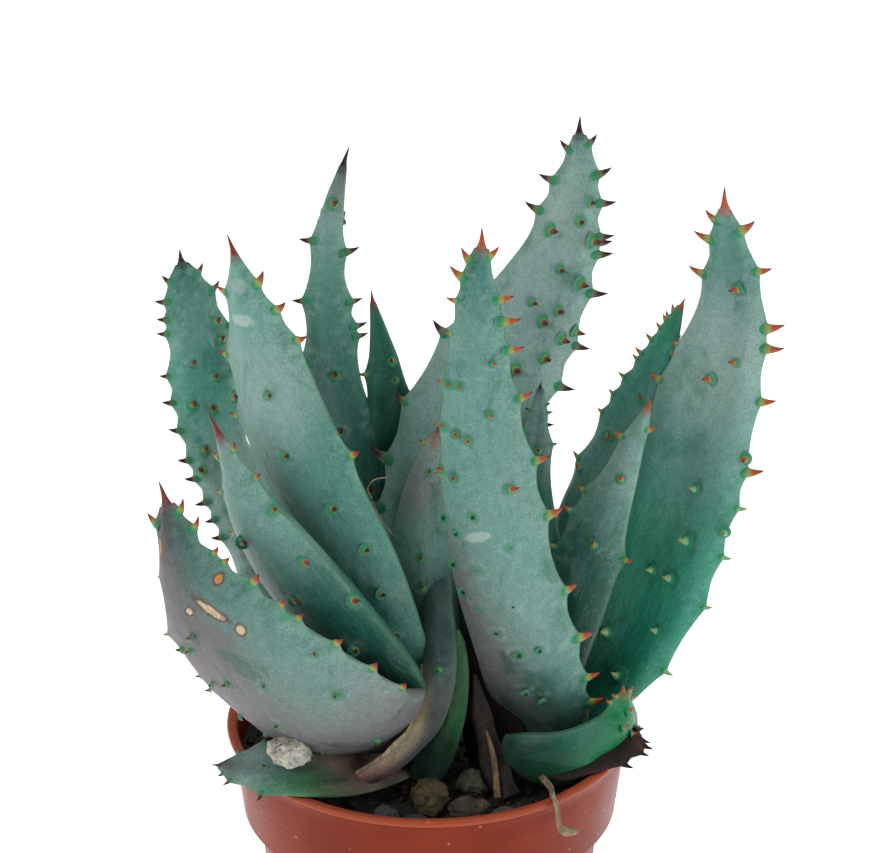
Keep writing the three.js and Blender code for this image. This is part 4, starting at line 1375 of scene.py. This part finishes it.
def makeCrumbs(look):
    picker = random.Random(look["seed"])
    base, faces = ballPoints(1)
    shell = Shell()
    for i in range(look["crumbs"]):
        angle = picker.uniform(0, 2 * math.pi)
        reach = math.sqrt(picker.random()) * (rimRadius - 5)
        x, y = reach * math.cos(angle), reach * math.sin(angle)
        size = picker.uniform(*look["crumbSize"]) * picker.uniform(0.5, 1)
        stretch = np.array([picker.uniform(0.7, 1.5), picker.uniform(0.6, 1.1), picker.uniform(0.5, 0.9)])
        spin = picker.uniform(0, 6.28)
        points = lumpy(base, i, 0.5, 1.3) * stretch * size
        turned = np.stack([points[:, 0] * math.cos(spin) - points[:, 1] * math.sin(spin),
                           points[:, 0] * math.sin(spin) + points[:, 1] * math.cos(spin), points[:, 2]], -1)
        shell.add(turned + np.array([x, y, soilTop + soilHeight(x, y) + 0.2 * size]), faces)
    return shell


loose(makeCrumbs(soilLook).piece("soilCrumbs", soilSurface))
print("soil made")

# ---- stones ----

stoneLooks = {
    # two colours and speckles as linear rgb
    "stone_1": {"tones": ((0.03, 0.028, 0.012), (0.1, 0.07, 0.024)), "seed": 1},
    "stone_2": {"tones": ((0.02, 0.022, 0.014), (0.07, 0.07, 0.045)), "seed": 2},
    "stone_3": {"tones": ((0.022, 0.02, 0.016), (0.09, 0.06, 0.035)), "seed": 3},
    "stone_4": {"tones": ((0.02, 0.022, 0.022), (0.06, 0.062, 0.06)), "seed": 4},
    "stone_5": {"tones": ((0.04, 0.035, 0.028), (0.13, 0.1, 0.07)), "seed": 5},
    "stone_6": {"tones": ((0.015, 0.016, 0.017), (0.05, 0.05, 0.05)), "seed": 6},
    # grow is a share of the stone's box, and shift is in mm
    "pale_stone": {"tones": ((0.3, 0.29, 0.22), (0.62, 0.61, 0.54)), "seed": 11, "pits": 0.8,
                   "grow": 1.12, "shift": (0.4, -2.2, -1.0)},
}


stoneSpots = {"rust": (0.16, 0.075, 0.03, 1), "pit": (0.02, 0.02, 0.016, 1)}


def stoneMaterial(name, look):
    material, tree, shader = newMaterial("surface_" + name)
    place = addNode(tree, "ShaderNodeTexCoord").outputs["Object"]
    cloud = noiseAt(tree, place, 330, 6, 0.65, 0.5)
    dark, light = look["tones"]
    colour = blendColour(tree, ramp(tree, cloud, 0.35, 0.65), (*dark, 1), (*light, 1))
    rust = ramp(tree, noiseAt(tree, place, 150, 4), 0.58, 0.7, 0, 0.5)
    colour = blendColour(tree, rust, colour, stoneSpots["rust"])
    pits = addNode(tree, "ShaderNodeTexVoronoi", {"Vector": place, "Scale": 620}).outputs["Distance"]
    deep = ramp(tree, pits, 0.28, 0.1, 0, look.get("pits", 0.35))
    colour = blendColour(tree, deep, colour, stoneSpots["pit"])
    tree.links.new(colour, shader.inputs["Base Color"])
    shader.inputs["Roughness"].default_value = 0.85
    rough = bump(tree, cloud, 0.0009, 0.9)
    hollow = bump(tree, ramp(tree, pits, 0.1, 0.35), 0.0004, 0.6, rough)
    tree.links.new(hollow, shader.inputs["Normal"])
    return material


def makeStone(name, look):
    low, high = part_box(name)
    centre = np.array((low + high) / 2) / mm
    size = np.array(high - low) / 2 / mm
    base, faces = ballPoints(5)
    points = lumpy(base, look["seed"], 0.3, 1.1)
    points = lumpy(points, look["seed"] + 20, 0.09, 4.5)
    points = points / np.abs(points).max(0) * size * look.get("grow", 1.0)
    shell = Shell()
    shell.add(points + centre + np.array(look.get("shift", (0, 0, 0))), faces)
    return keep(shell.piece(pieceName(name), stoneMaterial(name, look)), name)


for name, look in stoneLooks.items():
    makeStone(name, look)
print("stones made:", len(stoneLooks))

# ---- stems and dry remains ----

dryLook = {
    "stemRadius": 8.0,  # mm
    # darker and lighter colour of each kind, as linear rgb
    "papery": ((0.2, 0.14, 0.08), (0.42, 0.33, 0.22)),
    "dark": ((0.006, 0.0045, 0.0035), (0.028, 0.019, 0.012)),
    "strip": ((0.16, 0.1, 0.055), (0.34, 0.25, 0.16)),
    "fibre": ((0.1, 0.055, 0.03), (0.26, 0.16, 0.09)),
}


def dryMaterial(name, pair):
    material, tree, shader = newMaterial(name)
    place = addNode(tree, "ShaderNodeTexCoord").outputs["Object"]
    fibre = noiseAt(tree, scaled(tree, place, (1, 1, 0.18)), 700, 5, 0.65, 0.4)
    colour = blendColour(tree, ramp(tree, fibre, 0.35, 0.65), (*pair[0], 1), (*pair[1], 1))
    tree.links.new(colour, shader.inputs["Base Color"])
    shader.inputs["Roughness"].default_value = 0.75
    tree.links.new(bump(tree, fibre, 0.0004, 0.8), shader.inputs["Normal"])
    return material


def ribbon(dry, points, pitch):
    # a thin creased strip through its stations
    strip = Blade({"stations": []} | dry)
    rings = max(8, int(strip.length / pitch))
    shares = np.interp(np.linspace(0, strip.length, rings), strip.travel, strip.share)
    turn = circle(points)
    half = strip.read(strip.half, shares)[:, None]
    crease = dry["crease"] * np.minimum(half, 2)
    curl = crease * (np.cos(turn)[None, :] ** 2 + 0.35 * np.cos(turn * 3)[None, :])
    twist = crease * 0.6 * np.sin(strip.read(strip.travel, shares)[:, None] / 2.1)
    up = dry["flat"] * np.sin(turn)[None, :] + curl + twist * np.cos(turn)[None, :]
    middle = strip.read(strip.middle, shares)[:, None, :]
    across = strip.read(strip.across, shares)[:, None, :]
    inward = strip.read(strip.inward, shares)[:, None, :]
    shell = Shell()
    skin = middle + across * (half * np.cos(turn))[..., None] + inward * up[..., None]
    shell.add(skin, closedGrid(rings, points))
    return shell


def makeStem(node):
    low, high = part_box(node)
    shell = Shell()
    sides = 60
    turn = circle(sides)
    rows = []
    for height in np.linspace(low.z / mm, high.z / mm, 40):
        ridge = 0.2 * np.sin(3 * turn + height / 3) + 0.14 * np.sin(7 * turn - height)
        leafBase = 0.5 * ((height / 3.4) % 1)  # a step at each old leaf
        rows.append(ring(turn, dryLook["stemRadius"] + ridge + leafBase, height, footOf(node)))
    shell.add(np.vstack(rows), closedGrid(len(rows), sides))
    return keep(shell.piece(pieceName(node), dryMaterial("bark_" + node, dryLook["dark"])), node)


makeStem("left_stem")
makeStem("right_stem")

dryPieces = {
    # each has stations of [x, y, z, half width] from its stem's foot, or from the rim as the leaves have
    "dried_sheath": {
        # partly painted shade: a near-black dry leaf base, widened to fill a dark gap by the right stem
        # that is partly shadow
        "foot": rightFoot, "facing": (0, 0.9, 0.4), "flat": 0.6, "crease": 0.9, "tones": "dark",
        "stations": [(-13, -30, 1, 4.6), (-15.5, -26, 6, 4.4), (-18, -20, 13, 3.4), (-20, -14, 22, 1.9),
                     (-20.5, -12, 27, 0.6)],
    },
    "dried_strip": {
        "foot": rightFoot, "facing": (-0.6, 0.8, 0.15), "flat": 0.3, "crease": 0.45, "tones": "strip",
        "rimStations": [(-45, 13, -1, 0.7), (-51, 4, 1, 0.9), (-54, -0.2, 1.6, 0.9), (-54.3, -2.2, -1, 0.8),
                        (-54.3, -2.6, -4, 0.7), (-53.6, -2.8, -6.6, 0.9), (-52.2, -3.4, -8, 1.3),
                        (-50.2, -4.2, -8.4, 0.9), (-49.2, -4.6, -8, 0.3)],
    },
    "sheath_fibre": {
        "foot": rightFoot, "facing": (0, 0.9, 0.4), "flat": 0.35, "crease": 0.2, "tones": "fibre",
        "stations": [(-17.6, -21.5, 16, 0.3), (-16, -24.5, 11, 0.7), (-15.2, -28, 6.5, 0.8),
                     (-14.8, -31, 2, 0.9)],
    },
    "curled_fibre": {
        "foot": leftFoot, "facing": (0, 0.9, 0.4), "flat": 0.13, "crease": 0, "tones": "papery",
        "stations": [(-10.2, -9.5, 77, 0.16), (-11.2, -9.5, 80, 0.16), (-9.4, -9, 82.2, 0.16),
                     (-6, -7.5, 82, 0.12)],
    },
    "loose_fibre": {
        "foot": leftFoot, "facing": (0, 0.9, 0.4), "flat": 0.13, "crease": 0, "tones": "papery",
        "stations": [(-10.2, -9.5, 76.6, 0.16), (-8.6, -10, 73, 0.16), (-7.3, -9.5, 70.3, 0.14),
                     (-4.8, -9, 66.5, 0.1)],
    },
}


def makeDryPiece(name, dry):
    shell = ribbon(dry, 20, 0.4)
    piece = shell.piece(pieceName(name), dryMaterial("dry_" + name, dryLook[dry["tones"]]))
    return keep(piece, name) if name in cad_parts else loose(piece)


for name, dry in dryPieces.items():
    makeDryPiece(name, dry)


def makePaperEdge():
    # the thin dry border along the upper edge of the clasping sheath
    band = Blade(leaves["clasping_sheath"])
    shares = np.linspace(0.34, 0.86, 12)
    half = band.read(band.half, shares)[:, None]
    line = band.read(band.middle, shares) - band.read(band.across, shares) * half * 0.98
    line = line - band.read(band.inward, shares) * 0.8
    wide = 0.25 + 0.5 * np.sin(np.linspace(0, math.pi, len(shares)))
    dry = {"foot": np.zeros(3), "facing": (-0.6, 0.7, 0.3), "flat": 0.25, "crease": 0.6,
           "stations": [(*point, half) for point, half in zip(line, wide)]}
    paper = dryMaterial("paperEdge", dryLook["papery"])
    return loose(ribbon(dry, 16, 0.5).piece("paperEdge", paper))


makePaperEdge()
print("stems and dry leaves made")
